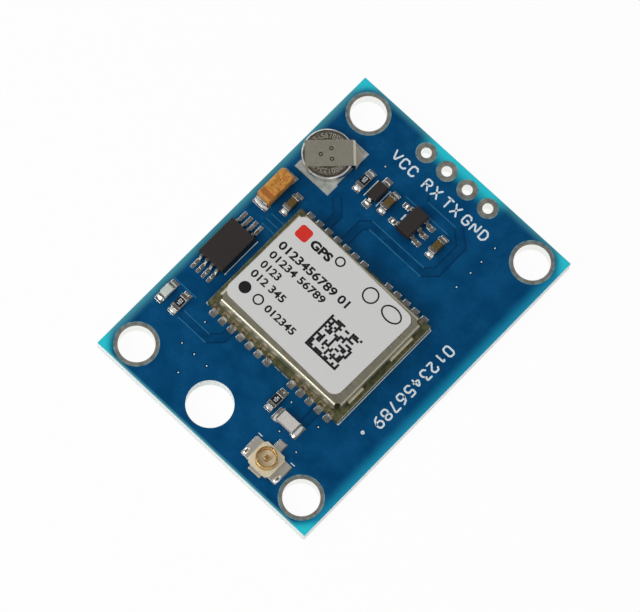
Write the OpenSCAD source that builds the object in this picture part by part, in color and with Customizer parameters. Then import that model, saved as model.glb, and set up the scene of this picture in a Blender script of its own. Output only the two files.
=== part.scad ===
/* [Board] */
// Width of the board, along the header row
board_w = 25.5; // [24:0.1:32]
// Length of the board, from the antenna end to the header end
board_l = 35; // [33:0.1:44]
// Thickness of the laminate
board_t = 1.6; // [0.8:0.1:2.4]
// Thickness of the tin on plated holes, edge contacts and chip ends
plating_t = 0.05; // [0.03:0.01:0.07]
// Thickness of the solder under every soldered foot
solder_t = 0.05; // [0.03:0.01:0.1]

/* [Mounting holes] */
// Clear diameter of a mounting hole
hole_d = 3.4; // [2.2:0.1:3.8]
// Width of the tinned ring around a mounting hole
hole_ring = 0.4; // [0.2:0.05:0.6]
// Laminate between a mounting hole's ring and the long edge
hole_edge_x = 0.5; // [0.2:0.05:0.8]
// Laminate between a mounting hole's ring and the short edge
hole_edge_y = 0.25; // [0.2:0.05:0.5]

/* [Header row] */
// Number of header holes
header_count = 4; // [2:1:5]
// Spacing of the header holes
header_pitch = 2.54; // [2.2:0.01:2.6]
// Clear diameter of a header hole
header_hole_d = 1; // [0.8:0.05:1.1]
// Width of the tinned ring around a header hole
header_ring = 0.5; // [0.25:0.05:0.55]
// Wall of a header hole's lining, with its tin
header_lining = 0.18; // [0.17:0.01:0.2]
// Laminate between a header hole's ring and the short edge
header_edge = 0.4; // [0.2:0.05:1]

/* [Antenna lead hole] */
// Diameter of the plain hole for the antenna lead
lead_hole_d = 4.4; // [3:0.1:5.2]
// Laminate between the lead hole and the short edge
lead_hole_edge = 0.7; // [0.4:0.05:1.2]
// From the left long edge to the lead hole's centre
lead_hole_x = 11.15; // [10:0.05:12]

/* [Vias] */
// Clear diameter of a via
via_d = 0.3; // [0.2:0.05:0.5]

/* [Receiver carrier] */
// Length of the carrier, along the board's width
carrier_l = 16; // [14.5:0.1:18]
// Width of the carrier, along the board's length
carrier_w = 12.2; // [11:0.1:14]
// Thickness of the carrier
carrier_t = 0.8; // [0.5:0.05:1.2]
// Spacing of the edge contacts
contact_pitch = 1.1; // [0.95:0.01:1.2]
// From the carrier's end to the first edge contact
contact_end = 1; // [0.6:0.05:1.2]
// Width of an edge contact
contact_w = 0.7; // [0.65:0.01:0.8]
// Radius of the half-round notch in an edge contact
notch_r = 0.25; // [0.15:0.01:0.29]
// Edge contacts in the group at the left end of each side
contacts_left = 7; // [6:1:7]
// Edge contacts in the group at the right end of each side
contacts_right = 5; // [4:1:5]
// Gap between the carrier and the parts to its left
carrier_gap = 0.62; // [0.3:0.02:1]

/* [Shield can] */
// Carrier left bare at each end of the can
can_inset_x = 0.53; // [0.3:0.01:0.8]
// Carrier left bare along each side of the can
can_inset_y = 0.48; // [0.44:0.01:0.7]
// Height of the can
can_h = 1.55; // [1.3:0.05:2.4]
// Thickness of the sheet
sheet_t = 0.2; // [0.1:0.01:0.25]
// Inside radius of the folds
fold_r = 0.12; // [0.05:0.01:0.2]
// Extra radius of the relief at each folded corner
relief = 0.05; // [0.03:0.01:0.15]
// Height of the open slots along the can's foot
slot_h = 0.4; // [0.15:0.01:0.6]
// Length of the longer foot at each end of the can
foot_long = 2.8; // [1.5:0.1:3.2]
// Length of the shorter foot at each end of the can
foot_short = 1.8; // [1:0.1:3]
// From the can's corner to the nearest foot
foot_end = 1.5; // [0.8:0.1:2]

/* [Label] */
// Thickness of the label
label_t = 0.08; // [0.05:0.01:0.15]
// Can left bare at the label's left end
label_left = 0.12; // [0.1:0.01:0.6]
// Can left bare at the label's right end
label_end = 0.8; // [0.4:0.05:2]
// Can left bare behind the label
label_back = 0.28; // [0.2:0.01:0.6]
// Can left bare in front of the label
label_front = 0.72; // [0.4:0.01:1]
// Corner radius of the label
label_r = 0.9; // [0.2:0.05:1.5]
// Turn of the label on the can, in degrees
label_turn = -1.2; // [-1.2:0.1:1.2]

/* [Receiver parts] */
// Side of the square receiver chip
receiver_side = 5; // [4:0.1:5.6]
// Height of the receiver chip
receiver_h = 0.85; // [0.5:0.05:0.9]
// Side of the square antenna filter
filter_side = 3; // [2:0.1:3.4]
// Height of the antenna filter
filter_h = 0.9; // [0.5:0.05:1]
// Length of the oscillator
oscillator_l = 2.5; // [2:0.1:3]
// Width of the oscillator
oscillator_w = 2; // [1.6:0.1:2.4]
// Height of the oscillator
oscillator_h = 0.8; // [0.5:0.05:0.9]
// Length of the clock crystal
crystal_l = 3.2; // [2:0.1:3.6]
// Width of the clock crystal
crystal_w = 1.5; // [1:0.1:1.7]
// Height of the clock crystal
crystal_h = 0.75; // [0.5:0.05:0.9]
// Length of the amplifier chip
amplifier_l = 1.5; // [1:0.1:1.8]
// Width of the amplifier chip
amplifier_w = 1; // [0.8:0.1:1.2]
// Height of the amplifier chip
amplifier_h = 0.55; // [0.4:0.05:0.8]
// Length of a small passive chip
passive_l = 1; // [0.6:0.05:1.2]
// Width and height of a small passive chip
passive_w = 0.5; // [0.3:0.05:0.6]
// Gap between the can's wall and the parts inside it
bay_gap = 1.1; // [0.5:0.05:1.2]

/* [Backup cell] */
// Diameter of the cell
cell_d = 4.8; // [4:0.1:5.8]
// Height of the cell
cell_h = 1.2; // [0.9:0.05:2]
// Height of the cap above the crimped rim
cap_rise = 0.1; // [0.05:0.01:0.2]
// Width of the crimped rim
rim_w = 0.22; // [0.15:0.01:0.4]
// Width of the seal between rim and cap
seal_w = 0.1; // [0.06:0.01:0.2]
// Thickness of the welded strap and base plate
strap_t = 0.1; // [0.06:0.01:0.15]
// Width of the strap
strap_w = 2.5; // [1.6:0.05:2.8]
// Width of the strap where it folds down
strap_neck = 2.4; // [1.4:0.05:2.5]
// Reach of the strap's foot beyond the cell
strap_foot = 0.75; // [0.5:0.05:0.85]
// Direction of the strap, in degrees
strap_turn = 45; // [40:1:50]
// Length of the tinned pad under the base plate
base_pad_l = 4.1; // [3.6:0.05:4.6]
// Width of the tinned pad under the base plate
base_pad_w = 1.35; // [1:0.05:1.8]
// Length of the tinned pad under the strap's foot
foot_pad_l = 1.95; // [1.8:0.05:2.5]
// Width of the tinned pad under the strap's foot
foot_pad_w = 1.7; // [1.2:0.05:1.75]
// From the long edge to the cell
cell_edge = 0.41; // [0.2:0.01:0.8]

/* [Chips] */
// Length of a chip resistor, capacitor or light
chip_l = 1.6; // [1.4:0.05:2]
// Width of a chip resistor, capacitor or light
chip_w = 0.8; // [0.6:0.05:1]
// Height of a chip capacitor
capacitor_h = 0.8; // [0.5:0.05:1]
// Height of a chip resistor
resistor_h = 0.45; // [0.3:0.05:0.6]
// Height of the light's base
led_base_h = 0.28; // [0.2:0.02:0.4]
// Height of the light's lens above its base
led_lens_h = 0.36; // [0.2:0.02:0.5]
// Length of a chip's metal end
chip_end = 0.34; // [0.2:0.02:0.45]
// Reach of the solder beyond a chip's end
chip_run = 0.45; // [0.3:0.05:0.6]
// Length of the inductor
inductor_l = 2.1; // [1.8:0.05:2.6]
// Width of the inductor
inductor_w = 1.2; // [1:0.05:1.6]
// Height of the inductor
inductor_h = 0.9; // [0.6:0.05:1.3]

/* [Tantalum capacitor] */
// Length over its terminals
tantalum_l = 3.6; // [2.8:0.1:3.8]
// Width of its moulded body
tantalum_w = 1.6; // [1.2:0.1:2]
// Height
tantalum_h = 1.6; // [1.2:0.1:2]
// Width of a terminal
tantalum_tab_w = 1.2; // [0.8:0.1:1.2]
// Thickness of a terminal
tantalum_tab_t = 0.1; // [0.06:0.01:0.15]
// Reach of its solder
tantalum_run = 0.4; // [0.3:0.05:0.8]

/* [Leaded chips] */
// Width of the memory chip's body
memory_w = 3; // [2.8:0.1:3.6]
// Length of the memory chip's body
memory_l = 4.4; // [4:0.1:5]
// Height of the memory chip
memory_h = 1.05; // [0.8:0.05:1.4]
// Spacing of the memory chip's leads
memory_pitch = 0.65; // [0.5:0.01:0.75]
// Width of the regulator's body
regulator_w = 1.6; // [1.4:0.1:1.9]
// Length of the regulator's body
regulator_l = 2.9; // [2.7:0.1:3.3]
// Height of the regulator
regulator_h = 1.15; // [0.8:0.05:1.5]
// Spacing of the regulator's leads
regulator_pitch = 0.95; // [0.85:0.01:1]
// Width of the diode's body
diode_w = 1.2; // [1:0.05:1.4]
// Length of the diode's body
diode_l = 1.75; // [1.5:0.05:2]
// Height of the diode
diode_h = 0.95; // [0.7:0.05:1.2]
// Reach of a lead from its body to its toe
lead_reach = 0.95; // [0.8:0.05:1.1]
// Thickness of a lead
lead_t = 0.13; // [0.1:0.01:0.16]
// Reach of the solder beyond a lead's toe
lead_run = 0.45; // [0.3:0.05:0.6]
// Gap between a moulded body and the solder's level
stand_off = 0.1; // [0.05:0.01:0.15]

/* [Antenna socket] */
// Side of the square insulator
socket_side = 2.6; // [2.4:0.1:3]
// Height of the insulator
socket_base_h = 0.38; // [0.3:0.02:0.5]
// Outside diameter of the ring
socket_ring_d = 2; // [1.8:0.05:2.2]
// Wall of the ring
socket_wall = 0.15; // [0.1:0.01:0.2]
// Height of the socket
socket_h = 1.25; // [1:0.05:1.6]
// Diameter of the centre contact
socket_pin_d = 0.5; // [0.3:0.02:0.6]
// Thickness of the shell's sheet
shell_t = 0.12; // [0.08:0.01:0.15]
// Reach of each ground foot beyond the insulator
ground_reach = 0.77; // [0.5:0.01:0.9]
// Length of each ground foot
ground_l = 2.2; // [1.8:0.05:2.3]
// Width of the signal foot
signal_w = 0.7; // [0.5:0.05:0.9]
// Reach of the signal foot beyond the insulator
signal_reach = 0.9; // [0.6:0.05:1.1]
// Reach of the shell's front tab beyond the insulator
front_reach = 0.35; // [0.2:0.05:0.5]
// Width of the shell's front tab
front_w = 1.4; // [1:0.05:1.6]
// From the short edge to the socket's front tab
socket_edge = 1; // [0.6:0.05:1.4]

/* [Hidden] */
$fn = 48;
// A cutter passes each face that it opens by this much
over = 0.5;
// Clearance between curved faces that seat on each other
ease = 0.01;
// Clearance between a chip and the metal beside it
slip = 0.04;
// The board's far corners
half_w = board_w / 2;
half_l = board_l / 2;
// Level of every soldered foot's underside
seat = board_t + solder_t;

// Mounting and header holes
hole_ring_r = hole_d / 2 + hole_ring;
hole_x = half_w - hole_edge_x - hole_ring_r;
hole_y = half_l - hole_edge_y - hole_ring_r;
header_ring_r = header_hole_d / 2 + header_ring;
header_y = half_l - header_edge - header_ring_r;
lead_x = -half_w + lead_hole_x;
lead_y = -half_l + lead_hole_edge + lead_hole_d / 2;

// The left lane holds four blocks between two mounting holes, with the free length shared out
lane_edge = 0.75;
lane_gap = 0.8;
memory_out = 0.1;
cell_pad_side = 0.1;
cell_pad_base = 0.21;
cell_pad_foot = 0.49;
cell_block_l = cell_d + cell_pad_base + cell_pad_foot;
tantalum_block_l = tantalum_l + 2 * tantalum_run;
memory_block_l = memory_l + 2 * (lead_reach + lead_run);
led_block_l = chip_l + 2 * chip_run;
lane_blocks = [cell_block_l, tantalum_block_l, memory_block_l, led_block_l];
lane_shares = [0.108, 0.107, 0.177, 0.292];
lane_top = hole_y - hole_ring_r;
lane_free = 2 * lane_top - sum(lane_blocks, len(lane_blocks));
lane_x = -half_w + lane_edge;
lane_w = max(tantalum_w + lane_gap + chip_w, memory_w, 2 * chip_w + lane_gap);
tantalum_x = lane_x + tantalum_w / 2;
tantalum_y = lane_y(1);
memory_x = lane_x - memory_out + memory_w / 2;
memory_y = lane_y(2);
led_x = lane_x + chip_w / 2;
led_y = lane_y(3);
cell_x = -half_w + cell_edge + cell_d / 2;
cell_y = lane_y(0) + (cell_pad_base - cell_pad_foot) / 2;
pad_right = cell_x + cell_d / 2 + cell_pad_side;

// The row under the header runs from the cell to the right
row_drop = 5.95;
row_y = header_y - row_drop;
regulator_reach = 0.62;
regulator_block_w = regulator_w + 2 * (regulator_reach + lead_run);
row_blocks = [chip_w, diode_w, chip_w, regulator_block_w, chip_w];
row_gaps = [1.05, 0.62, 0.43, 0.6, 0.8];
row_x = [for (i = [0:len(row_blocks) - 1])
    pad_right + sum(row_gaps, i + 1) + sum(row_blocks, i) + row_blocks[i] / 2];

// The antenna feed climbs from the short edge to the carrier
socket_half = socket_side / 2;
socket_corner = 0.12 * socket_side;
socket_boss = 0.15;
ring_flare = 0.04;
flare_h = socket_base_h + slip;
signal_clear = 0.12;
socket_y = -half_l + socket_edge + front_reach + socket_half;
socket_gap = 0.4;
socket_x = hole_x - hole_ring_r - socket_gap - socket_half - ground_reach;
feed_gap = 0.9;
pad_lap = 0.1;
feed_pad_w = inductor_w + 2 * pad_lap;
inductor_y = socket_y + socket_half + signal_reach + feed_gap + feed_pad_w / 2;
feed_rise = 0.25;
feed_y = inductor_y - feed_pad_w / 2 + feed_rise + led_block_l / 2;
carrier_run = 0.55;
carrier_rise = 0.6;
feed_top_gap = 0.38;
carrier_x = lane_x + lane_w + carrier_gap + carrier_l / 2;
carrier_y = feed_y + led_block_l / 2 + feed_top_gap + carrier_run + carrier_w / 2;
carrier_top = seat + carrier_t;
contact_gap = carrier_l - 2 * contact_end - (contacts_left + contacts_right - 2) * contact_pitch;
contact_x = [for (i = [0:contacts_left + contacts_right - 1])
    -carrier_l / 2 + contact_end + i * contact_pitch
    + (i < contacts_left ? 0 : contact_gap - contact_pitch)];
contact_depth = can_inset_y - slip;
contact_under = 0.9;
feed_x = carrier_x + contact_x[contacts_left];
feed_side_gap = 0.33;
inductor_end = 0.3;
inductor_x = feed_x + chip_w / 2 + feed_side_gap + chip_run + inductor_l / 2;

// The can stands on the carrier, and its bay holds the receiver's parts
can_l = carrier_l - 2 * can_inset_x;
can_w = carrier_w - 2 * can_inset_y;
can_top = carrier_top + can_h;
relief_r = sheet_t * sqrt(2) + relief;
bay_x = can_l / 2 - sheet_t - bay_gap;
bay_y = can_w / 2 - sheet_t - bay_gap;
label_l = can_l - label_left - label_end;
label_w = can_w - label_back - label_front;
label_x = carrier_x + (label_left - label_end) / 2;
label_y = carrier_y + (label_front - label_back) / 2;

// The cell stands on its base plate
cell_z = seat + strap_t;
rim_h = cell_h - cap_rise;
cap_r = cell_d / 2 - rim_w - seal_w;
seal_depth = 0.25;
rim_round = 0.12;
strap_gap = 0.05;
strap_bend = 0.18;
strap_lap = strap_t * tan(22.5);
strap_back = 0.3;
foot_tip_w = 0.6;
base_pad_x = pad_right - base_pad_l;
base_pad_y = cell_y - cell_d / 2 - cell_pad_base;

// Ends and leads of the small parts
led_end = 0.6 * chip_end;
memory_lead_w = 0.27;
regulator_lead_w = 0.42;
diode_lead_w = 0.36;
diode_reach = 0.42;

// Vias, each measured from the feature that it stands beside
last_contact_x = carrier_x + contact_x[contacts_left + contacts_right - 1];
via_row = [3.65, 1.85, 0.4, -1.45];
via_lead = [[-4.05, 0.15], [-2.65, 2.35], [-4.2, 2.35], [-5.7, 2.35]];
via_feed = [-1, 2.75];
via_side = 0.16;
via_rise = 2.4;
via_drop = 1.35;
via_spots = concat(
    [for (y = via_row) [last_contact_x, row_y + y]],
    [for (p = via_lead) [lead_x + p[0], lead_y + p[1]]],
    [[socket_x + via_feed[0], socket_y + via_feed[1]], [last_contact_x + via_side, socket_y + via_rise]],
    [for (i = [0, contacts_left + 1, contacts_left + contacts_right - 1])
        [carrier_x + contact_x[i], carrier_y - carrier_w / 2 - via_drop]],
    [[row_x[0] + chip_w / 2, row_y + chip_l + chip_w]]
);

// Sum of the first n values of a list
function sum(v, n) = n <= 0 ? 0 : v[n - 1] + sum(v, n - 1);

// Centre of the left lane's block i, counted from the header end
function lane_y(i) =
    lane_top - lane_free * sum(lane_shares, i + 1) - sum(lane_blocks, i) - lane_blocks[i] / 2;

// A hollow fillet from the end of its run to the top of its rise
function fillet_curve(run, rise, steps = 5) =
    [for (i = [0:steps]) let (a = 90 * i / steps) [run * (1 - sin(a)), rise * (1 - cos(a))]];

// Box centred on X and Y that stands on z = 0
module slab(w, l, h) {
    translate([-w / 2, -l / 2, 0]) cube([w, l, h]);
}

// Upright outline with two rounded upper corners
module arch(w, h, r) {
    translate([-w / 2, 0]) square([w, h - r]);
    translate([-w / 2 + r, 0]) square([w - 2 * r, h]);
    for (s = [-1, 1]) translate([s * (w / 2 - r), h - r]) circle(r);
}

// Box with rounded folds along its four upper edges
module folded_box(l, w, h, r) {
    intersection() {
        rotate([90, 0, 90]) linear_extrude(l, center = true) arch(w, h, r);
        rotate([90, 0, 0]) linear_extrude(w, center = true) arch(l, h, r);
    }
}

// Moulded package, widest at its parting line, from z0 to z1
module moulded(w, l, z0, z1, draft) {
    mid = (z0 + z1) / 2;
    intersection() {
        rotate([90, 0, 0]) linear_extrude(l, center = true) draft_profile(w, z0, mid, z1, draft);
        rotate([90, 0, 90]) linear_extrude(w, center = true) draft_profile(l, z0, mid, z1, draft);
    }
}

// Section of a moulded package
module draft_profile(w, z0, mid, z1, draft) {
    h = w / 2;
    polygon([[-h + draft, z0], [h - draft, z0], [h, mid], [h - draft, z1], [-h + draft, z1], [-h, mid]]);
}

// Section drawn in X and Z, run along Y over a width
module run_along_y(w) {
    rotate([90, 0, 0]) linear_extrude(w, center = true) children();
}

// The four mounting hole places
module at_mounting_holes() {
    for (sx = [-1, 1], sy = [-1, 1]) translate([sx * hole_x, sy * hole_y, 0]) children();
}

// The header hole places
module at_header_holes() {
    for (i = [0:header_count - 1])
        translate([(i - (header_count - 1) / 2) * header_pitch, header_y, 0]) children();
}

// The via places
module at_vias() {
    for (p = via_spots) translate([p[0], p[1], 0]) children();
}

// Lined hole with a flush ring on each face
module plated_barrel(d, ring_r, wall) {
    r = d / 2;
    rotate_extrude() polygon([
        [r, 0], [ring_r, 0], [ring_r, plating_t], [r + wall, plating_t],
        [r + wall, board_t - plating_t], [ring_r, board_t - plating_t], [ring_r, board_t], [r, board_t]
    ]);
}

// Room for a lined hole in the board
module barrel_room(d, ring_r, wall) {
    translate([0, 0, -over]) cylinder(r = d / 2 + wall, h = board_t + 2 * over);
    for (z = [-over, board_t - plating_t]) translate([0, 0, z]) cylinder(r = ring_r, h = plating_t + over);
}

module board() {
    color([0.03, 0.25, 0.42]) difference() {
        slab(board_w, board_l, board_t);
        at_mounting_holes() barrel_room(hole_d, hole_ring_r, plating_t);
        at_header_holes() barrel_room(header_hole_d, header_ring_r, header_lining);
        at_vias() translate([0, 0, -over]) cylinder(r = via_d / 2 + plating_t, h = board_t + 2 * over);
        translate([lead_x, lead_y, -over]) cylinder(d = lead_hole_d, h = board_t + 2 * over);
    }
}

module hole_plating() {
    color([0.72, 0.72, 0.7]) at_mounting_holes() plated_barrel(hole_d, hole_ring_r, plating_t);
}

module header_plating() {
    color([0.72, 0.72, 0.7]) at_header_holes() plated_barrel(header_hole_d, header_ring_r, header_lining);
}

module via_barrels() {
    color([0.72, 0.72, 0.7]) at_vias() difference() {
        cylinder(r = via_d / 2 + plating_t, h = board_t);
        translate([0, 0, -over]) cylinder(r = via_d / 2, h = board_t + 2 * over);
    }
}

// Places of the edge contacts, with +Y pointing away from the carrier
module at_contacts() {
    for (x = contact_x, s = [-1, 1])
        translate([carrier_x + x, carrier_y + s * carrier_w / 2, 0]) rotate([0, 0, s > 0 ? 0 : 180]) children();
}

module carrier() {
    color([0.3, 0.34, 0.18]) difference() {
        translate([carrier_x, carrier_y, seat]) slab(carrier_l, carrier_w, carrier_t);
        at_contacts() translate([0, 0, seat - over]) cylinder(r = notch_r + plating_t, h = carrier_t + 2 * over);
    }
}

// Lined half-round notch with its pad on the carrier's top
module edge_contact() {
    difference() {
        union() {
            intersection() {
                translate([0, 0, seat]) cylinder(r = notch_r + plating_t, h = carrier_t);
                translate([-contact_w / 2, -contact_depth, seat]) cube([contact_w, contact_depth, carrier_t]);
            }
            translate([-contact_w / 2, -contact_depth, carrier_top]) cube([contact_w, contact_depth, plating_t]);
        }
        translate([0, 0, seat - over]) cylinder(r = notch_r, h = carrier_t + 2 * over);
    }
}

module edge_contacts() {
    color([0.75, 0.7, 0.55]) at_contacts() edge_contact();
}

// Solder under and beyond a foot that ends at y = 0, with +Y pointing outwards
module solder_foot(w, under, run, rise) {
    rotate([0, 0, 90]) run_along_y(w) polygon(concat(
        [[-under, board_t], [run, board_t]],
        [for (p = fillet_curve(run, rise)) [p[0], seat + p[1]]],
        [[0, seat], [-under, seat]]
    ));
}

module carrier_solder() {
    color([0.8, 0.8, 0.8]) at_contacts() {
        solder_foot(contact_w, contact_under, carrier_run, carrier_rise);
        intersection() {
            translate([0, 0, board_t]) cylinder(r = notch_r - ease, h = solder_t + carrier_rise);
            translate([-contact_w / 2, -contact_under, board_t]) cube([contact_w, contact_under + ease, carrier_t]);
        }
    }
}

// Room that leaves the can's feet standing along one of its end walls
module foot_slots() {
    middle = can_w - 2 * foot_end - foot_long - foot_short;
    starts = [-can_w / 2 - over, -can_w / 2 + foot_end + foot_short, can_w / 2 - foot_end];
    lengths = [foot_end + over, middle, foot_end + over];
    for (i = [0:2]) translate([-sheet_t - over, starts[i], -over])
        cube([2 * (sheet_t + over), lengths[i], slot_h + over]);
}

module shield_can() {
    gap_start = contact_x[contacts_left - 1] + contact_w / 2;
    color([0.66, 0.64, 0.55]) translate([carrier_x, carrier_y, carrier_top]) difference() {
        folded_box(can_l, can_w, can_h, fold_r + sheet_t);
        translate([0, 0, -over])
            folded_box(can_l - 2 * sheet_t, can_w - 2 * sheet_t, can_h - sheet_t + over, fold_r);
        for (sx = [-1, 1], sy = [-1, 1])
            translate([sx * (can_l / 2 - sheet_t), sy * (can_w / 2 - sheet_t), -over])
                cylinder(r = relief_r, h = can_h + 2 * over);
        for (s = [-1, 1]) translate([s * can_l / 2, 0, 0]) foot_slots();
        for (s = [-1, 1]) translate([gap_start, s * can_w / 2 - sheet_t - over, -over])
            cube([contact_gap - contact_w, 2 * (sheet_t + over), slot_h + over]);
    }
}

// Flat plate with rounded corners
module rounded_plate(w, l, h, r) {
    linear_extrude(h) {
        square([w - 2 * r, l], center = true);
        square([w, l - 2 * r], center = true);
        for (sx = [-1, 1], sy = [-1, 1]) translate([sx * (w / 2 - r), sy * (l / 2 - r)]) circle(r);
    }
}

module can_label() {
    color([0.83, 0.83, 0.82])
        translate([label_x, label_y, can_top]) rotate([0, 0, label_turn])
            rounded_plate(label_l, label_w, label_t, label_r);
}

// A part of the receiver, set in the bay by its corner that is nearest the bay's corner
module bay_part(sx, sy, w, l, h) {
    translate([carrier_x + sx * (bay_x - w / 2), carrier_y + sy * (bay_y - l / 2), carrier_top]) slab(w, l, h);
}

module receiver_chip() {
    color([0.13, 0.13, 0.14]) bay_part(-1, 1, receiver_side, receiver_side, receiver_h);
}

module clock_crystal() {
    color([0.75, 0.75, 0.7]) bay_part(-1, -1, crystal_l, crystal_w, crystal_h);
}

module antenna_filter() {
    color([0.85, 0.82, 0.74]) bay_part(1, -1, filter_side, filter_side, filter_h);
}

module oscillator() {
    color([0.8, 0.78, 0.7]) bay_part(1, 1, oscillator_l, oscillator_w, oscillator_h);
}

module amplifier_chip() {
    color([0.15, 0.15, 0.15])
        translate([carrier_x + bay_x - filter_side - bay_gap - amplifier_l / 2,
                   carrier_y - bay_y + filter_side / 2, carrier_top])
            slab(amplifier_l, amplifier_w, amplifier_h);
}

module inner_passives() {
    rows = 4;
    color([0.6, 0.5, 0.38]) for (i = [0:rows - 1])
        translate([carrier_x + bay_x - oscillator_l - bay_gap - passive_l / 2,
                   carrier_y + bay_y - passive_w / 2 - i * 2 * passive_w, carrier_top])
            slab(passive_l, passive_w, passive_w);
}

// Set down a round piece of the cell
module at_cell() {
    translate([cell_x, cell_y, cell_z]) children();
}

module cell_can() {
    r = cell_d / 2;
    color([0.74, 0.74, 0.73]) at_cell() rotate_extrude() polygon([
        [0, 0], [r - rim_round, 0], [r, rim_round], [r, rim_h - rim_round], [r - rim_round, rim_h],
        [r - rim_w, rim_h], [r - rim_w, rim_h - seal_depth], [0, rim_h - seal_depth]
    ]);
}

module cell_gasket() {
    color([0.12, 0.12, 0.12]) at_cell() translate([0, 0, rim_h - seal_depth]) difference() {
        cylinder(r = cap_r + seal_w, h = seal_depth);
        translate([0, 0, -over]) cylinder(r = cap_r, h = seal_depth + 2 * over);
    }
}

module cell_cap() {
    color([0.5, 0.49, 0.46]) at_cell() rotate_extrude() polygon([
        [0, rim_h - seal_depth], [cap_r, rim_h - seal_depth], [cap_r, cell_h - cap_rise / 2],
        [cap_r - cap_rise / 2, cell_h], [0, cell_h]
    ]);
}

module cell_strap() {
    r = cell_d / 2;
    leg = r + strap_gap;
    tip = r + strap_foot;
    low = seat;
    high = cell_z + cell_h;
    color([0.47, 0.46, 0.42]) translate([cell_x, cell_y, 0]) rotate([0, 0, strap_turn]) intersection() {
        run_along_y(strap_w) polygon([
            [-r + strap_back, high], [leg - strap_bend, high], [leg, high - strap_bend], [leg, low],
            [tip, low], [tip, low + strap_t], [leg + strap_t, low + strap_t],
            [leg + strap_t, high - strap_bend + strap_lap],
            [leg - strap_bend + strap_lap, high + strap_t], [-r + strap_back, high + strap_t]
        ]);
        linear_extrude(high + strap_t) polygon([
            [-r, -strap_w / 2], [cap_r - strap_w / 4, -strap_w / 2], [leg, -strap_neck / 2],
            [leg + strap_t, -strap_neck / 2], [tip, -foot_tip_w / 2], [tip, foot_tip_w / 2],
            [leg + strap_t, strap_neck / 2], [leg, strap_neck / 2], [cap_r - strap_w / 4, strap_w / 2],
            [-r, strap_w / 2]
        ]);
    }
}

module cell_base() {
    left_lap = 0.65;
    front_lap = 0.1;
    depth = 0.7 * cell_d;
    color([0.66, 0.66, 0.64]) translate([base_pad_x + left_lap, base_pad_y + front_lap, seat])
        cube([base_pad_l - left_lap - front_lap, depth, strap_t]);
}

module cell_solder() {
    color([0.7, 0.7, 0.68]) {
        translate([base_pad_x, base_pad_y, board_t]) cube([base_pad_l, base_pad_w, solder_t]);
        translate([pad_right - foot_pad_l, cell_y + cell_d / 2 + cell_pad_foot - foot_pad_w, board_t])
            cube([foot_pad_l, foot_pad_w, solder_t]);
    }
}

module tantalum_body() {
    color([0.8, 0.5, 0.15]) translate([tantalum_x, tantalum_y, 0])
        run_along_y(tantalum_l - 2 * tantalum_tab_t) draft_profile(
            tantalum_w, seat + tantalum_tab_t, seat + tantalum_h / 2, seat + tantalum_h, 0.06);
}

// The two ends of a part that lies along Y, with +Y pointing outwards
module at_ends(l) {
    for (s = [0, 180]) rotate([0, 0, s]) translate([0, l / 2, 0]) children();
}

module tantalum_terminals() {
    under = 0.8;
    rise = 0.9;
    t = tantalum_tab_t;
    color([0.78, 0.78, 0.76]) translate([tantalum_x, tantalum_y, seat]) at_ends(tantalum_l)
        rotate([0, 0, 90]) run_along_y(tantalum_tab_w)
            polygon([[-under, 0], [0, 0], [0, rise], [-t, rise], [-t, t], [-under, t]]);
}

// Places of the chip capacitors, which lie along Y
module at_capacitors() {
    translate([lane_x + tantalum_w + lane_gap + chip_w / 2, tantalum_y, 0]) children();
    for (i = [2, 4]) translate([row_x[i], row_y, 0]) children();
}

// Places of the chip resistors, which lie along Y
module at_resistors() {
    translate([led_x + chip_w + lane_gap, led_y, 0]) children();
    translate([row_x[0], row_y, 0]) children();
    translate([feed_x, feed_y, 0]) children();
}

// Place of the inductor, turned to lie along X
module at_inductor() {
    translate([inductor_x, inductor_y, 0]) rotate([0, 0, 90]) children();
}

// Body of a chip, inside its metal ends by one wall; the sides are bare where side_wall is 0
module chip_body(l, w, h, wall, side_wall) {
    translate([0, 0, seat + wall]) slab(w - 2 * side_wall, l - 2 * wall, h - 2 * wall);
}

// The two metal ends of a chip
module chip_ends(l, w, h, wall, side_wall, end) {
    at_ends(l) difference() {
        translate([-w / 2, -end, seat]) cube([w, end, h]);
        translate([0, -l / 2, 0]) chip_body(l, w + (side_wall > 0 ? 0 : over), h, wall, side_wall);
    }
}

module capacitor_bodies() {
    color([0.42, 0.32, 0.18]) at_capacitors() chip_body(chip_l, chip_w, capacitor_h, plating_t, plating_t);
}

module capacitor_ends() {
    color([0.8, 0.79, 0.74]) at_capacitors()
        chip_ends(chip_l, chip_w, capacitor_h, plating_t, plating_t, chip_end);
}

module resistor_bodies() {
    color([0.82, 0.8, 0.76]) at_resistors() chip_body(chip_l, chip_w, resistor_h, plating_t, 0);
}

module resistor_films() {
    color([0.1, 0.1, 0.1]) at_resistors() translate([0, 0, seat + resistor_h - plating_t])
        slab(chip_w - slip, chip_l - 2 * (chip_end + slip), 1.5 * plating_t);
}

module resistor_ends() {
    color([0.8, 0.79, 0.76]) at_resistors() chip_ends(chip_l, chip_w, resistor_h, plating_t, 0, chip_end);
}

module led_base() {
    color([0.82, 0.82, 0.74]) translate([led_x, led_y, 0])
        chip_body(chip_l, chip_w, led_base_h, plating_t, 0);
}

module led_lens() {
    lens_l = chip_l - 2 * (led_end + slip);
    slope = 0.08;
    color([0.88, 0.88, 0.84]) translate([led_x, led_y, seat + led_base_h - plating_t]) rotate([0, 0, 90])
        run_along_y(chip_w) polygon([
            [-lens_l / 2, 0], [lens_l / 2, 0], [lens_l / 2 - slope, led_lens_h], [-lens_l / 2 + slope, led_lens_h]
        ]);
}

module led_ends() {
    color([0.82, 0.81, 0.78]) translate([led_x, led_y, 0])
        chip_ends(chip_l, chip_w, led_base_h, plating_t, 0, led_end);
}

module inductor_body() {
    color([0.74, 0.71, 0.71]) at_inductor()
        chip_body(inductor_l, inductor_w, inductor_h, plating_t, plating_t);
}

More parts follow.
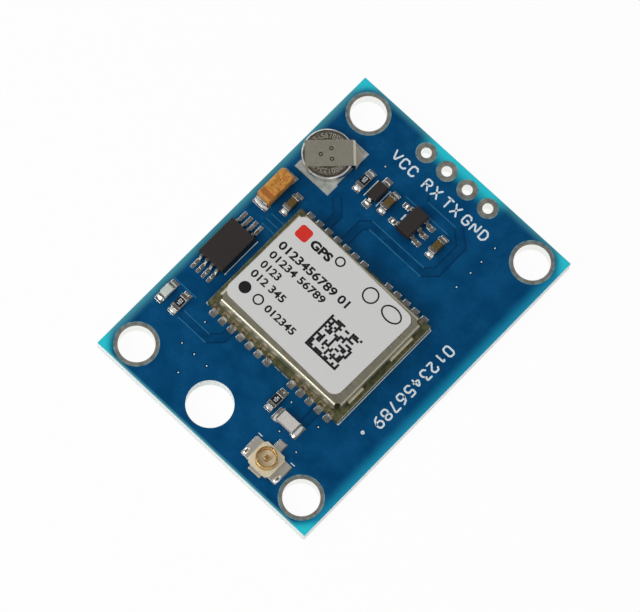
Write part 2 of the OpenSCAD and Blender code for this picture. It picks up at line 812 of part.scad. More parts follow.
module inductor_ends() {
    color([0.8, 0.78, 0.75]) at_inductor()
        chip_ends(inductor_l, inductor_w, inductor_h, plating_t, plating_t, inductor_end / 2);
}

// One bent lead that leaves a body at y = 0 and ends at its toe, with +Y pointing outwards
module bent_lead(w, h, reach) {
    mid = (stand_off + h) / 2;
    root = 0.2;
    shoulder = 0.16 * reach;
    slope = 0.2 * reach;
    lean = 0.6 * lead_t;
    translate([0, 0, seat]) rotate([0, 0, 90]) run_along_y(w) polygon([
        [-root, mid + lead_t / 2], [shoulder + lean, mid + lead_t / 2], [shoulder + slope + lean, lead_t],
        [reach, lead_t], [reach, 0], [shoulder + slope, 0], [shoulder, mid - lead_t / 2], [-root, mid - lead_t / 2]
    ]);
}

// Solder under and before one lead's toe
module lead_pad(w, reach) {
    translate([0, reach, 0]) solder_foot(w, 0.6 * reach, lead_run, 0.8 * lead_t);
}

// Places of the memory chip's leads
module at_memory_leads() {
    for (s = [0, 180], i = [-1.5:1:1.5])
        translate([memory_x, memory_y, 0]) rotate([0, 0, s])
            translate([i * memory_pitch, memory_l / 2, 0]) children();
}

module memory_leads() {
    color([0.78, 0.78, 0.78]) at_memory_leads() bent_lead(memory_lead_w, memory_h, lead_reach);
}

module memory_body() {
    draft = 0.09;
    color([0.16, 0.15, 0.14]) difference() {
        translate([memory_x, memory_y, seat]) moulded(memory_w, memory_l, stand_off, memory_h, draft);
        memory_leads();
    }
}

// Places of the regulator's leads: three on the right, and the outer two on the left
module at_regulator_leads() {
    for (i = [-1, 0, 1])
        translate([row_x[3] + regulator_w / 2, row_y + i * regulator_pitch, 0]) rotate([0, 0, -90]) children();
    for (i = [-1, 1])
        translate([row_x[3] - regulator_w / 2, row_y + i * regulator_pitch, 0]) rotate([0, 0, 90]) children();
}

module regulator_leads() {
    color([0.78, 0.78, 0.78]) at_regulator_leads() bent_lead(regulator_lead_w, regulator_h, regulator_reach);
}

module regulator_body() {
    draft = 0.09;
    color([0.15, 0.14, 0.12]) difference() {
        translate([row_x[3], row_y, seat]) moulded(regulator_w, regulator_l, stand_off, regulator_h, draft);
        regulator_leads();
    }
}

// Places of the diode's leads
module at_diode_leads() {
    translate([row_x[1], row_y, 0]) at_ends(diode_l) children();
}

module diode_leads() {
    color([0.78, 0.78, 0.78]) at_diode_leads() bent_lead(diode_lead_w, diode_h, diode_reach);
}

module diode_body() {
    draft = 0.08;
    color([0.14, 0.13, 0.12]) difference() {
        translate([row_x[1], row_y, seat]) moulded(diode_w, diode_l, stand_off, diode_h, draft);
        diode_leads();
    }
}

// Set down a piece of the antenna socket
module at_socket() {
    translate([socket_x, socket_y, seat]) children();
}

// Strip under the insulator that carries the centre contact to its foot
module signal_strip(w, clear) {
    translate([-w / 2, -w / 2, -clear]) cube([w, socket_half + signal_reach + w / 2, shell_t + clear]);
}

module socket_contact() {
    color([0.85, 0.68, 0.3]) at_socket() {
        signal_strip(signal_w, 0);
        cylinder(d = socket_pin_d, h = socket_h - socket_wall);
    }
}

// The shell's flat strips: the ground feet to both sides and the front tab
module shell_strips() {
    slab(socket_side + 2 * ground_reach, ground_l, shell_t);
    translate([-front_w / 2, -socket_half - front_reach, 0]) cube([front_w, socket_half + front_reach, shell_t]);
}

// Room for the shell's strips under the insulator, open below
module shell_room() {
    slab(socket_side + 2 * ground_reach, ground_l, over + shell_t);
    translate([-front_w / 2, -socket_half - front_reach, 0])
        cube([front_w, socket_half + front_reach, over + shell_t]);
}

// The ring's outside, flared where the insulator holds it
module flared_ring(clear, drop) {
    r = socket_ring_d / 2 + clear;
    translate([0, 0, -drop]) cylinder(r1 = r + ring_flare * (1 + drop / flare_h), r2 = r, h = flare_h + drop);
    translate([0, 0, flare_h]) cylinder(r = r, h = socket_h - flare_h);
}

module socket_shell() {
    r = socket_ring_d / 2;
    gap_w = signal_w + 2 * signal_clear;
    color([0.8, 0.66, 0.36]) at_socket() difference() {
        union() {
            flared_ring(0, 0);
            shell_strips();
        }
        translate([0, 0, -over]) cylinder(r = r - socket_wall, h = socket_h + 2 * over);
        translate([-gap_w / 2, 0, -over]) cube([gap_w, socket_half + over, over + shell_t + signal_clear]);
    }
}

module socket_insulator() {
    r = socket_ring_d / 2;
    h = socket_half;
    gap_w = signal_w + 2 * signal_clear;
    boss_h = socket_base_h + socket_boss;
    color([0.8, 0.77, 0.7]) at_socket() difference() {
        union() {
            linear_extrude(socket_base_h) polygon([
                [-h + socket_corner, -h], [h - socket_corner, -h], [h, -h + socket_corner], [h, h - socket_corner],
                [h - socket_corner, h], [-h + socket_corner, h], [-h, h - socket_corner], [-h, -h + socket_corner]
            ]);
            cylinder(r = r - socket_wall - ease, h = boss_h);
        }
        difference() {
            flared_ring(ease, over);
            translate([0, 0, -2 * over]) cylinder(r = r - socket_wall - ease, h = socket_h + 4 * over);
            translate([-gap_w / 2 + ease, 0, -2 * over])
                cube([gap_w - 2 * ease, 2 * socket_half, 2 * over + shell_t + signal_clear - ease]);
        }
        difference() {
            translate([0, 0, -over]) shell_room();
            translate([0, 0, -2 * over]) cylinder(r = r - socket_wall - ease, h = 4 * over);
            translate([-gap_w / 2 + ease, 0, -2 * over]) cube([gap_w - 2 * ease, 2 * socket_half, 4 * over]);
        }
        signal_strip(signal_w, over);
        translate([0, 0, -over]) cylinder(d = socket_pin_d + 2 * ease, h = boss_h + 2 * over);
    }
}

module chip_solder() {
    rise = 0.3;
    color([0.78, 0.78, 0.78]) {
        at_capacitors() at_ends(chip_l) solder_foot(chip_w, chip_end, chip_run, rise);
        at_resistors() at_ends(chip_l) solder_foot(chip_w, chip_end, chip_run, rise);
        translate([led_x, led_y, 0]) at_ends(chip_l) solder_foot(chip_w, led_end, chip_run, led_base_h / 2);
        at_inductor() at_ends(inductor_l) solder_foot(feed_pad_w, inductor_end, chip_run, rise);
        translate([tantalum_x, tantalum_y, 0]) at_ends(tantalum_l)
            solder_foot(tantalum_w, chip_end, tantalum_run, rise);
    }
}

module lead_solder() {
    color([0.78, 0.78, 0.78]) {
        at_memory_leads() lead_pad(memory_lead_w + pad_lap, lead_reach);
        at_regulator_leads() lead_pad(regulator_lead_w + pad_lap, regulator_reach);
        at_diode_leads() lead_pad(diode_w / 1.5, diode_reach);
        at_socket() translate([0, socket_half + signal_reach, -seat])
            solder_foot(signal_w + 2 * pad_lap, signal_reach, pad_lap, solder_t);
        for (s = [-90, 90]) at_socket() rotate([0, 0, s]) translate([0, socket_half + ground_reach, -seat])
            solder_foot(ground_l, ground_reach, pad_lap, solder_t);
    }
}

board();
hole_plating();
header_plating();
via_barrels();
carrier();
edge_contacts();
carrier_solder();
shield_can();
can_label();
receiver_chip();
amplifier_chip();
antenna_filter();
oscillator();
clock_crystal();
inner_passives();
cell_can();
cell_gasket();
cell_cap();
cell_strap();
cell_base();
cell_solder();
tantalum_body();
tantalum_terminals();
capacitor_bodies();
capacitor_ends();
resistor_bodies();
resistor_films();
resistor_ends();
led_base();
led_lens();
led_ends();
inductor_body();
inductor_ends();
memory_body();
memory_leads();
regulator_body();
regulator_leads();
diode_body();
diode_leads();
socket_insulator();
socket_shell();
socket_contact();
chip_solder();
lead_solder();
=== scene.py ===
"""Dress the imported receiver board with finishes, copper bands, print and solder, and stage it as photographed."""

import logging
import math
from dataclasses import dataclass, field
from enum import Enum
from typing import Any, Iterable, Mapping, Sequence

import bmesh
import bpy
from mathutils import Matrix, Vector


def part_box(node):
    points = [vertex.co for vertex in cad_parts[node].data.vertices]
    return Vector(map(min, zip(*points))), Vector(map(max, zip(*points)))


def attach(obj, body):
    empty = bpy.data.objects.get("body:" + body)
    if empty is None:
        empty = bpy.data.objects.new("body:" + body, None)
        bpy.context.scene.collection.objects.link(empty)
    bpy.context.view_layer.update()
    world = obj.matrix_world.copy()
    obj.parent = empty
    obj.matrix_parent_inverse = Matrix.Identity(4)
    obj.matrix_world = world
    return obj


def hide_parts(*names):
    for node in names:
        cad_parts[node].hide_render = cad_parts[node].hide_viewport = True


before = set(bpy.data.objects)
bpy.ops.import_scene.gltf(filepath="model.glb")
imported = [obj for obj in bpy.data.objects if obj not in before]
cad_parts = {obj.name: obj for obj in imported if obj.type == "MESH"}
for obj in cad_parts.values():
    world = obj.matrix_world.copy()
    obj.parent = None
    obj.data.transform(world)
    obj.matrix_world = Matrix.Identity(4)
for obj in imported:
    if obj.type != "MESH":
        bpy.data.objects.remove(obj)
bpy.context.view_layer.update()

LOG = logging.getLogger("receiver_board")
MM = 0.001
MITRE = 0.3

Point = tuple[float, float]
Path = Sequence[Point]
Colour = tuple[float, float, float]
Spot = tuple[Vector, float, Vector]
Mesh = bpy.types.Mesh
Node = bpy.types.Node
Plug = bpy.types.NodeSocket
Tree = bpy.types.NodeTree


class Slot(Enum):
    """The record's material slots, one given with each of the scene's own pieces."""

    MASK = "solder_mask"
    TIN = "tin"
    GILT = "gilt"
    LABEL = "label_film"
    BLACK = "black_moulding"
    PALE = "pale_ceramic"
    BROWN = "brown_ceramic"
    CELL = "cell_steel"
    STRAP = "strap_steel"
    ORANGE = "orange_moulding"
    LENS = "milky_lens"
    FERRITE = "grey_ferrite"
    BEIGE = "beige_moulding"


def shade(red: int, green: int, blue: int) -> Colour:
    """Turn a colour as it looks, 0 to 255, into the linear colour that a shader takes."""
    line = [p / 12.92 if p <= 0.04045 else ((p + 0.055) / 1.055) ** 2.4 for p in (red / 255, green / 255, blue / 255)]
    return (line[0], line[1], line[2])


class Wiring:
    """Adds nodes to a tree and joins their sockets.

    A face is a wall where its normal's Z is under LEVEL, and an end wall where its normal's X is over END.
    """

    LEVEL = 0.5
    END = 0.7

    def __init__(self, tree: Tree) -> None:
        """Keep the tree that is wired."""
        self.tree = tree

    @classmethod
    def fresh(cls, owner: bpy.types.Material | bpy.types.World) -> "Wiring":
        """Empty the node tree of a material or a world.

        Args:
            owner: The material or world.

        Returns:
            The wiring of its empty tree.
        """
        owner.use_nodes = True
        owner.node_tree.nodes.clear()
        return cls(owner.node_tree)

    def add(self, kind: str, values: Mapping[Any, Any] | None = None, **settings: Any) -> Node:
        """Add one node.

        Args:
            kind: The node's type.
            values: A value or a source socket for each named or numbered input.
            **settings: The node's own properties.

        Returns:
            The new node.
        """
        node = self.tree.nodes.new(kind)
        for name, value in settings.items():
            setattr(node, name, value)
        for name, value in (values or {}).items():
            self.feed(node.inputs[name], value)
        return node

    def feed(self, socket: Plug, value: Any) -> None:
        """Link a socket to another socket, or set its value.

        Args:
            socket: The input to feed.
            value: A source socket, a colour of three numbers or a plain value.
        """
        if isinstance(value, Plug):
            self.tree.links.new(value, socket)
        elif socket.type == "RGBA" and len(value) == 3:
            socket.default_value = (*value, 1.0)
        else:
            socket.default_value = value

    def maths(self, operation: str, first: Any, second: Any = 0.0, third: Any = 0.0) -> Plug:
        """Join numbers or sockets with a Math node."""
        return self.add("ShaderNodeMath", {0: first, 1: second, 2: third}, operation=operation).outputs[0]

    def step(self, value: Plug, low: float, high: float) -> Plug:
        """Rise smoothly from 0 where a value is low to 1 where it is high."""
        reach = {"Value": value, "From Min": low, "From Max": high}
        return self.add("ShaderNodeMapRange", reach, interpolation_type="SMOOTHSTEP").outputs["Result"]

    def blend(self, mask: Any, first: Any, second: Any) -> Plug:
        """Mix two colours by a mask, which gives the first one at 0 and the second one at 1."""
        return self.add("ShaderNodeMix", {0: mask, 6: first, 7: second}, data_type="RGBA").outputs[2]

    def axes(self, coordinates: str) -> Mapping[str, Plug]:
        """Part a set of coordinates, such as Object or Normal, into X, Y and Z."""
        where = self.add("ShaderNodeTexCoord").outputs[coordinates]
        return self.add("ShaderNodeSeparateXYZ", {"Vector": where}).outputs

    def wall(self, end_only: bool = False) -> Plug:
        """Mask the faces that stand upright.

        Args:
            end_only: Whether only the walls at the +X end count.

        Returns:
            The mask's socket: 1 on a wall and 0 on a level face.
        """
        facing = self.axes("Normal")
        if end_only:
            return self.maths("GREATER_THAN", facing["X"], self.END)
        return self.maths("LESS_THAN", self.maths("ABSOLUTE", facing["Z"]), self.LEVEL)


class Recipe:
    """A node group that is built once and takes its own values at each use."""

    name = ""
    kind = "ShaderNodeTree"
    inputs: tuple[tuple[str, str], ...] = ()
    outputs: tuple[tuple[str, str], ...] = ()

    @classmethod
    def tree(cls) -> Tree:
        """Build the group once.

        Returns:
            The group's tree.
        """
        made = bpy.data.node_groups.get(cls.name)
        if made is not None:
            return made
        made = bpy.data.node_groups.new(cls.name, cls.kind)
        for way, sockets in (("INPUT", cls.inputs), ("OUTPUT", cls.outputs)):
            for label, kind in sockets:
                made.interface.new_socket(name=label, in_out=way, socket_type=f"NodeSocket{kind}")
        wiring = Wiring(made)
        wiring.add("NodeGroupOutput", cls.wire(wiring, wiring.add("NodeGroupInput").outputs))
        return made

    @classmethod
    def wire(cls, wiring: Wiring, source: Mapping[str, Plug]) -> dict[str, Plug]:
        """Join the group's nodes, from its input sockets to a socket for each output."""
        raise NotImplementedError


class Grain(Recipe):
    """Noise of a set grain size, as a value and as a mix of two colours."""

    name = "grain"
    inputs = (("Vector", "Vector"), ("Size", "Float"), ("Stretch", "Vector"), ("Dark", "Color"), ("Light", "Color"),
              ("Smooth", "Float"), ("Rough", "Float"))
    outputs = (("Colour", "Color"), ("Roughness", "Float"), ("Height", "Float"))
    detail = {"Detail": 4.0, "Roughness": 0.6}
    reach: Point = (0.28, 0.72)

    @classmethod
    def wire(cls, wiring: Wiring, source: Mapping[str, Plug]) -> dict[str, Plug]:
        """Join the noise to the colours, the roughness and the height.

        Args:
            wiring: The group's wiring.
            source: The group's input sockets.

        Returns:
            A socket for each output.
        """
        pulled = wiring.add("ShaderNodeVectorMath", {0: source["Vector"], 1: source["Stretch"]}, operation="MULTIPLY")
        scale = wiring.maths("DIVIDE", 1.0 / MM, source["Size"])
        noise = wiring.add("ShaderNodeTexNoise", {"Vector": pulled.outputs[0], "Scale": scale, **cls.detail})
        spread = wiring.step(noise.outputs["Fac"], *cls.reach)
        span = wiring.maths("SUBTRACT", source["Rough"], source["Smooth"])
        return {"Colour": wiring.blend(spread, source["Dark"], source["Light"]), "Height": spread,
                "Roughness": wiring.maths("MULTIPLY_ADD", spread, span, source["Smooth"])}


@dataclass(frozen=True)
class Finish:
    """A surface of two tints mixed by a grain, with a roughness range and a fine relief.

    Sizes are in millimetres and colours are linear.
    """

    name: str
    dark: Colour
    light: Colour
    grain: float
    smooth: float
    rough: float
    metallic: float = 0.0
    relief: float = 0.0
    specular: float = 0.5
    coat: float = 0.0
    stretch: Colour = (1.0, 1.0, 1.0)

    def tint(self, wiring: Wiring, base: Plug) -> Plug:
        """Colour the surface, here with the grain's colour alone."""
        return base

    def gloss(self, wiring: Wiring, base: Plug) -> Plug:
        """Set the surface's roughness, here the grain's alone."""
        return base

    def metal(self, wiring: Wiring) -> Plug | float:
        """Give the share of bare metal, here the same all over."""
        return self.metallic

    def material(self) -> bpy.types.Material:
        """Build the material once.

        Returns:
            The finish's material.
        """
        label = f"finish.{self.name}"
        made = bpy.data.materials.get(label)
        if made is not None:
            return made
        made = bpy.data.materials.new(label)
        wiring = Wiring.fresh(made)
        values = {"Vector": wiring.add("ShaderNodeTexCoord").outputs["Object"], "Size": self.grain,
                  "Stretch": self.stretch, "Dark": self.dark, "Light": self.light, "Smooth": self.smooth,
                  "Rough": self.rough}
        grain = wiring.add("ShaderNodeGroup", values, node_tree=Grain.tree()).outputs
        shader = wiring.add("ShaderNodeBsdfPrincipled",
                            {"Base Color": self.tint(wiring, grain["Colour"]),
                             "Roughness": self.gloss(wiring, grain["Roughness"]), "Metallic": self.metal(wiring),
                             "Specular IOR Level": self.specular, "Coat Weight": self.coat})
        if self.relief:
            bump = wiring.add("ShaderNodeBump", {"Height": grain["Height"], "Strength": 1.0,
                                                 "Distance": self.relief * MM})
            wiring.feed(shader.inputs["Normal"], bump.outputs["Normal"])
        wiring.add("ShaderNodeOutputMaterial", {"Surface": shader.outputs["BSDF"]})
        return made


@dataclass(frozen=True)
class MaskFinish(Finish):
    """Blue solder mask: brighter where no copper lies under it, with bare laminate on the board's edges, a painted
    highlight line along the near (-Y) edge and a painted lit border on the right (+X) edge.

    Each fade gives how far inside an edge it starts and ends.
    """

    half: Point = (12.75, 17.5)
    left_fade: Point = (1.0, -0.1)
    right_fade: Point = (1.3, -0.25)
    near_highlight_fade: Point = (0.32, 0.04)
    far_fade: Point = (0.8, -0.3)
    corner_fade: Point = (2.3, 0.8)
    header_fade: Point = (2.0, 0.1)
    header_reach: Point = (5.6, 3.0)
    # bare also paints the thin highlight line along the near (-Y) edge; lit is painted light on the right (+X) border
    bare: Colour = (0.0, 0.2, 0.3)
    lit: Colour = (0.0, 0.25, 0.4)
    glow: Colour = (0.0, 0.4, 0.5)
    edge: Colour = (0.6, 0.66, 0.6)

    def tint(self, wiring: Wiring, base: Plug) -> Plug:
        """Lay the bare border, the painted near-edge highlight, the painted lit right border, the glowing corners and
        the cut edges over the blue.

        Args:
            wiring: The material's wiring.
            base: The grain's colour.

        Returns:
            The colour's socket.
        """
        place = wiring.axes("Object")
        side, along = (wiring.maths("MULTIPLY", place[axis], 1.0 / MM) for axis in "XY")
        off_side, off_along = wiring.maths("ABSOLUTE", side), wiring.maths("ABSOLUTE", along)
        wide, long = self.half
        border = wiring.step(side, *(inset - wide for inset in self.left_fade))
        # the near (-Y) fade paints a thin highlight line in the bare colour
        for sign, fade in ((1.0, self.far_fade), (-1.0, self.near_highlight_fade)):
            rise = wiring.step(along, *(sign * (long - inset) for inset in fade))
            border = wiring.maths("MAXIMUM", border, rise)
        corner = wiring.step(wiring.maths("ADD", off_side, off_along),
                             *(wide + long - inset for inset in self.corner_fade))
        header = wiring.maths("MULTIPLY", wiring.step(along, *(long - inset for inset in self.header_fade)),
                              wiring.step(off_side, *self.header_reach))
        colour = wiring.blend(border, base, self.bare)
        # painted light: the right (+X) border is lighter as if lit
        colour = wiring.blend(wiring.step(side, *(wide - inset for inset in self.right_fade)), colour, self.lit)
        colour = wiring.blend(wiring.maths("MAXIMUM", corner, header), colour, self.glow)
        return wiring.blend(wiring.wall(), colour, self.edge)


@dataclass(frozen=True)
class WalledFinish(Finish):
    """A finish with another tint and polish on the faces that stand upright."""

    wall_tint: Colour = (0.9, 0.9, 0.9)
    wall_rough: float = 0.08
    wall_metal: float = 0.0
    end_only: bool = False

    def tint(self, wiring: Wiring, base: Plug) -> Plug:
        """Tint the walls."""
        return wiring.blend(wiring.wall(self.end_only), base, self.wall_tint)

    def gloss(self, wiring: Wiring, base: Plug) -> Plug:
        """Polish the walls."""
        level = wiring.maths("SUBTRACT", 1.0, wiring.wall())
        return wiring.maths("MAXIMUM", wiring.maths("MULTIPLY", base, level), self.wall_rough)

    def metal(self, wiring: Wiring) -> Plug | float:
        """Give the share of bare metal, which may be higher on the walls."""
        return wiring.maths("MAXIMUM", wiring.maths("MULTIPLY", wiring.wall(), self.wall_metal), self.metallic)


@dataclass(frozen=True)
class TwoMetalFinish(Finish):
    """Metal that is tinned on its feet, below a level."""

    level: float = 2.0
    foot: Colour = (0.6, 0.6, 0.6)
    foot_rough: float = 0.5

    def tint(self, wiring: Wiring, base: Plug) -> Plug:
        """Tin the feet."""
        return wiring.blend(self.low(wiring), base, self.foot)

    def gloss(self, wiring: Wiring, base: Plug) -> Plug:
        """Dull the feet."""
        return wiring.maths("MAXIMUM", base, wiring.maths("MULTIPLY", self.low(wiring), self.foot_rough))

    def low(self, wiring: Wiring) -> Plug:
        """Mask what lies below the level."""
        return wiring.maths("LESS_THAN", wiring.axes("Object")["Z"], self.level * MM)


class Finishes:
    """Every finish on the board."""

    # bare also paints the near edge's highlight line, and lit is painted light on the right border
    MASK = MaskFinish("blue_mask", shade(0, 66, 110), shade(3, 80, 128), 2.2, 0.2, 0.3, relief=0.001, specular=0.15,
                      bare=shade(74, 158, 174), lit=shade(26, 150, 186), glow=shade(44, 204, 220),
                      edge=shade(240, 248, 246))
    BAND = Finish("mask_over_track", shade(0, 59, 100), shade(2, 72, 117), 1.8, 0.2, 0.3, relief=0.001,
                  specular=0.15)
    # painted highlight: the pale tint on the raised mask round each tinned ring
    RING_HIGHLIGHT = Finish("mask_ring_highlight", shade(76, 108, 116), shade(140, 166, 166), 0.5, 0.3, 0.45, specular=0.4)
    # painted highlight and painted shade on the track edges, picked by each edge's direction
    EDGE_HIGHLIGHT = Finish("mask_edge_highlight", shade(30, 100, 142), shade(44, 116, 156), 0.6, 0.3, 0.45, specular=0.15)
    EDGE_SHADE = Finish("mask_in_shade", shade(0, 46, 82), shade(1, 54, 92), 0.6, 0.3, 0.45, specular=0.1)
    INK = Finish("white_print", shade(206, 220, 228), shade(232, 244, 250), 0.12, 0.5, 0.7, relief=0.001)
    TIN = Finish("tinned_metal", shade(168, 164, 156), shade(206, 203, 196), 0.5, 0.24, 0.38, 1.0, 0.001)
    PLATED = WalledFinish("plated_hole", shade(122, 122, 116), shade(146, 145, 138), 0.5, 0.34, 0.5, 0.35, 0.001,
                          wall_tint=shade(236, 236, 232), wall_rough=0.16, wall_metal=1.0)
    # painted highlight: the pale cyan-white drop that stands for the bright dot each via shows
    VIA_HIGHLIGHT = Finish("via_highlight_spot", shade(206, 240, 255), shade(232, 250, 255), 0.1, 0.15, 0.25, specular=0.9)
    SOLDER = Finish("solder", shade(216, 216, 214), shade(246, 246, 242), 0.6, 0.1, 0.22, 0.92, 0.002)
    LAMINATE = WalledFinish("carrier_laminate", shade(64, 66, 40), shade(106, 106, 66), 0.5, 0.3, 0.5, relief=0.001,
                            wall_tint=shade(212, 204, 168), wall_rough=0.4, end_only=True)
    CONTACT = Finish("edge_contact", shade(134, 122, 98), shade(190, 178, 152), 0.3, 0.28, 0.45, 0.9, 0.001)
    SHEET = Finish("can_sheet", shade(180, 175, 154), shade(196, 190, 168), 0.1, 0.26, 0.38, 0.8, 0.0005,
                   stretch=(0.1, 1.0, 1.0))
    # painted highlight: the solder beads on the can's feet are painted a pale cream
    BEAD_HIGHLIGHT = Finish("foot_solder_highlight", shade(244, 234, 204), shade(255, 248, 224), 0.3, 0.2, 0.35, 0.15)
    LABEL = Finish("label_film", shade(210, 210, 209), shade(222, 222, 220), 0.08, 0.42, 0.6, relief=0.0005,
                   specular=0.3)
    BLACK_INK = Finish("label_black", shade(18, 18, 20), shade(34, 34, 36), 0.1, 0.5, 0.7, specular=0.2)
    RED_INK = Finish("label_red", shade(206, 36, 26), shade(228, 52, 38), 0.1, 0.5, 0.7, specular=0.3)
    MOULDING = Finish("black_moulding", shade(36, 32, 30), shade(52, 47, 45), 0.1, 0.5, 0.7, relief=0.001,
                      specular=0.3)
    FILM = Finish("resistor_glaze", shade(10, 9, 10), shade(22, 20, 20), 0.15, 0.25, 0.4, relief=0.001)
    PALE = Finish("pale_ceramic", shade(206, 200, 190), shade(232, 228, 220), 0.1, 0.4, 0.6, relief=0.0005)
    BROWN = Finish("brown_ceramic", shade(76, 60, 26), shade(116, 93, 48), 0.16, 0.35, 0.55, relief=0.001,
                   specular=0.3)
    CELL = Finish("cell_steel", shade(200, 198, 192), shade(230, 229, 224), 0.3, 0.16, 0.28, 1.0, 0.001)
    STAMP = Finish("stamped_steel", shade(92, 84, 72), shade(156, 148, 132), 0.14, 0.3, 0.46, 1.0, 0.003)
    # painted highlight: the cap's raised figures are painted lighter than the cap
    FIGURE_HIGHLIGHT = Finish("raised_figure_highlight", shade(176, 170, 156), shade(206, 200, 186), 0.2, 0.3, 0.4, 0.4)
    STRAP = TwoMetalFinish("strap_steel", shade(210, 205, 188), shade(220, 215, 198), 0.2, 0.34, 0.4, 1.0,
                           level=1.8, foot=shade(226, 216, 204))
    SATIN = Finish("satin_plate", shade(168, 172, 166), shade(218, 222, 216), 1.1, 0.26, 0.42, 0.35, 0.001)
    WELD = Finish("weld_spot", shade(30, 25, 21), shade(58, 50, 44), 0.08, 0.4, 0.6, 0.6, 0.001)
    SEAL = Finish("cell_seal", shade(34, 32, 30), shade(56, 52, 48), 0.1, 0.5, 0.7, relief=0.0005)
    ORANGE = Finish("orange_moulding", shade(172, 108, 34), shade(222, 158, 70), 0.4, 0.34, 0.5, relief=0.006)
    BURNT = Finish("polarity_bar", shade(156, 88, 26), shade(178, 108, 38), 0.14, 0.4, 0.55, relief=0.0005)
    LENS = Finish("milky_lens", shade(192, 200, 192), shade(212, 220, 212), 0.2, 0.18, 0.3, relief=0.0005, coat=0.3)
    FERRITE = Finish("grey_ferrite", shade(194, 189, 186), shade(216, 212, 208), 0.12, 0.4, 0.6, relief=0.0005)
    BEIGE = Finish("ivory_moulding", shade(214, 204, 176), shade(234, 226, 202), 0.15, 0.35, 0.52, relief=0.0005)
    SHELL = TwoMetalFinish("socket_shell", shade(214, 170, 98), shade(246, 210, 142), 0.4, 0.18, 0.32, 0.85, 0.0005,
                           level=1.8, foot=shade(216, 212, 202), foot_rough=0.44)


class Growth(Recipe):
    """A Geometry Nodes tree that ends by making its shapes real and giving them their finish."""

    kind = "GeometryNodeTree"
    outputs = (("Shapes", "Geometry"),)

    @classmethod
    def wire(cls, wiring: Wiring, source: Mapping[str, Plug]) -> dict[str, Plug]:
        """Make the shapes real and give them their finish.

        Args:
            wiring: The tree's wiring.
            source: The tree's input sockets.

        Returns:
            A socket for each output.
        """
        real = wiring.add("GeometryNodeRealizeInstances", {"Geometry": cls.shapes(wiring, source)})
        dressed = wiring.add("GeometryNodeSetMaterial", {"Geometry": real.outputs["Geometry"],
                                                         "Material": source["Finish"]})
        return {"Shapes": dressed.outputs["Geometry"]}

    @classmethod
    def shapes(cls, wiring: Wiring, source: Mapping[str, Plug]) -> Plug:
        """Make the shapes from the tree's input sockets."""
        raise NotImplementedError


class Ribbon(Growth):
    """Flat strokes with round ends and corners along the splines of a curve."""

    name = "flat_stroke"
    inputs = (("Paths", "Geometry"), ("Width", "Float"), ("Height", "Float"), ("Corner", "Float"),
              ("Finish", "Material"))
    corner_points = 3
    disc_points = 14
    disc_height = 0.98

    @classmethod
    def shapes(cls, wiring: Wiring, source: Mapping[str, Plug]) -> Plug:
        """Sweep the strokes and set a disc on each of their points.

        Args:
            wiring: The tree's wiring.
            source: The tree's input sockets.

        Returns:
            The strokes' socket.
        """
        eased = wiring.add("GeometryNodeFilletCurve", {"Curve": source["Paths"], "Count": cls.corner_points,
                                                       "Radius": source["Corner"]}, mode="POLY").outputs["Curve"]
        level = wiring.add("GeometryNodeSetCurveNormal", {"Curve": eased}, mode="Z_UP")
        section = wiring.add("GeometryNodeCurvePrimitiveQuadrilateral",
                             {"Width": source["Width"], "Height": source["Height"]})
        body = wiring.add("GeometryNodeCurveToMesh", {"Curve": level.outputs["Curve"],
                                                      "Profile Curve": section.outputs["Curve"], "Fill Caps": True})
        half = wiring.maths("MULTIPLY", source["Width"], 0.5)
        low = wiring.maths("MULTIPLY", source["Height"], cls.disc_height)
        disc = wiring.add("GeometryNodeMeshCylinder", {"Vertices": cls.disc_points, "Radius": half, "Depth": low})
        joints = wiring.add("GeometryNodeInstanceOnPoints", {"Points": eased, "Instance": disc.outputs["Mesh"]})
        both = wiring.add("GeometryNodeJoinGeometry")
        for part in (joints.outputs["Instances"], body.outputs["Mesh"]):
            wiring.feed(both.inputs["Geometry"], part)
        return both.outputs["Geometry"]


class Scatter(Growth):
    """One shape set on each point, turned and sized by the points' attributes."""

    name = "set_on_points"
    inputs = (("Points", "Geometry"), ("Shape", "Object"), ("Finish", "Material"))

    @classmethod
    def shapes(cls, wiring: Wiring, source: Mapping[str, Plug]) -> Plug:
        """Set the shape on the points.

        Args:
            wiring: The tree's wiring.
            source: The tree's input sockets.

        Returns:
            The shapes' socket.
        """
        shape = wiring.add("GeometryNodeObjectInfo", {"Object": source["Shape"]}).outputs["Geometry"]
        turn, size = (wiring.add("GeometryNodeInputNamedAttribute", {"Name": label}, data_type="FLOAT_VECTOR")
                      for label in ("turn", "size"))
        return wiring.add("GeometryNodeInstanceOnPoints",
                          {"Points": source["Points"], "Instance": shape, "Rotation": turn.outputs["Attribute"],
                           "Scale": size.outputs["Attribute"]}).outputs["Instances"]


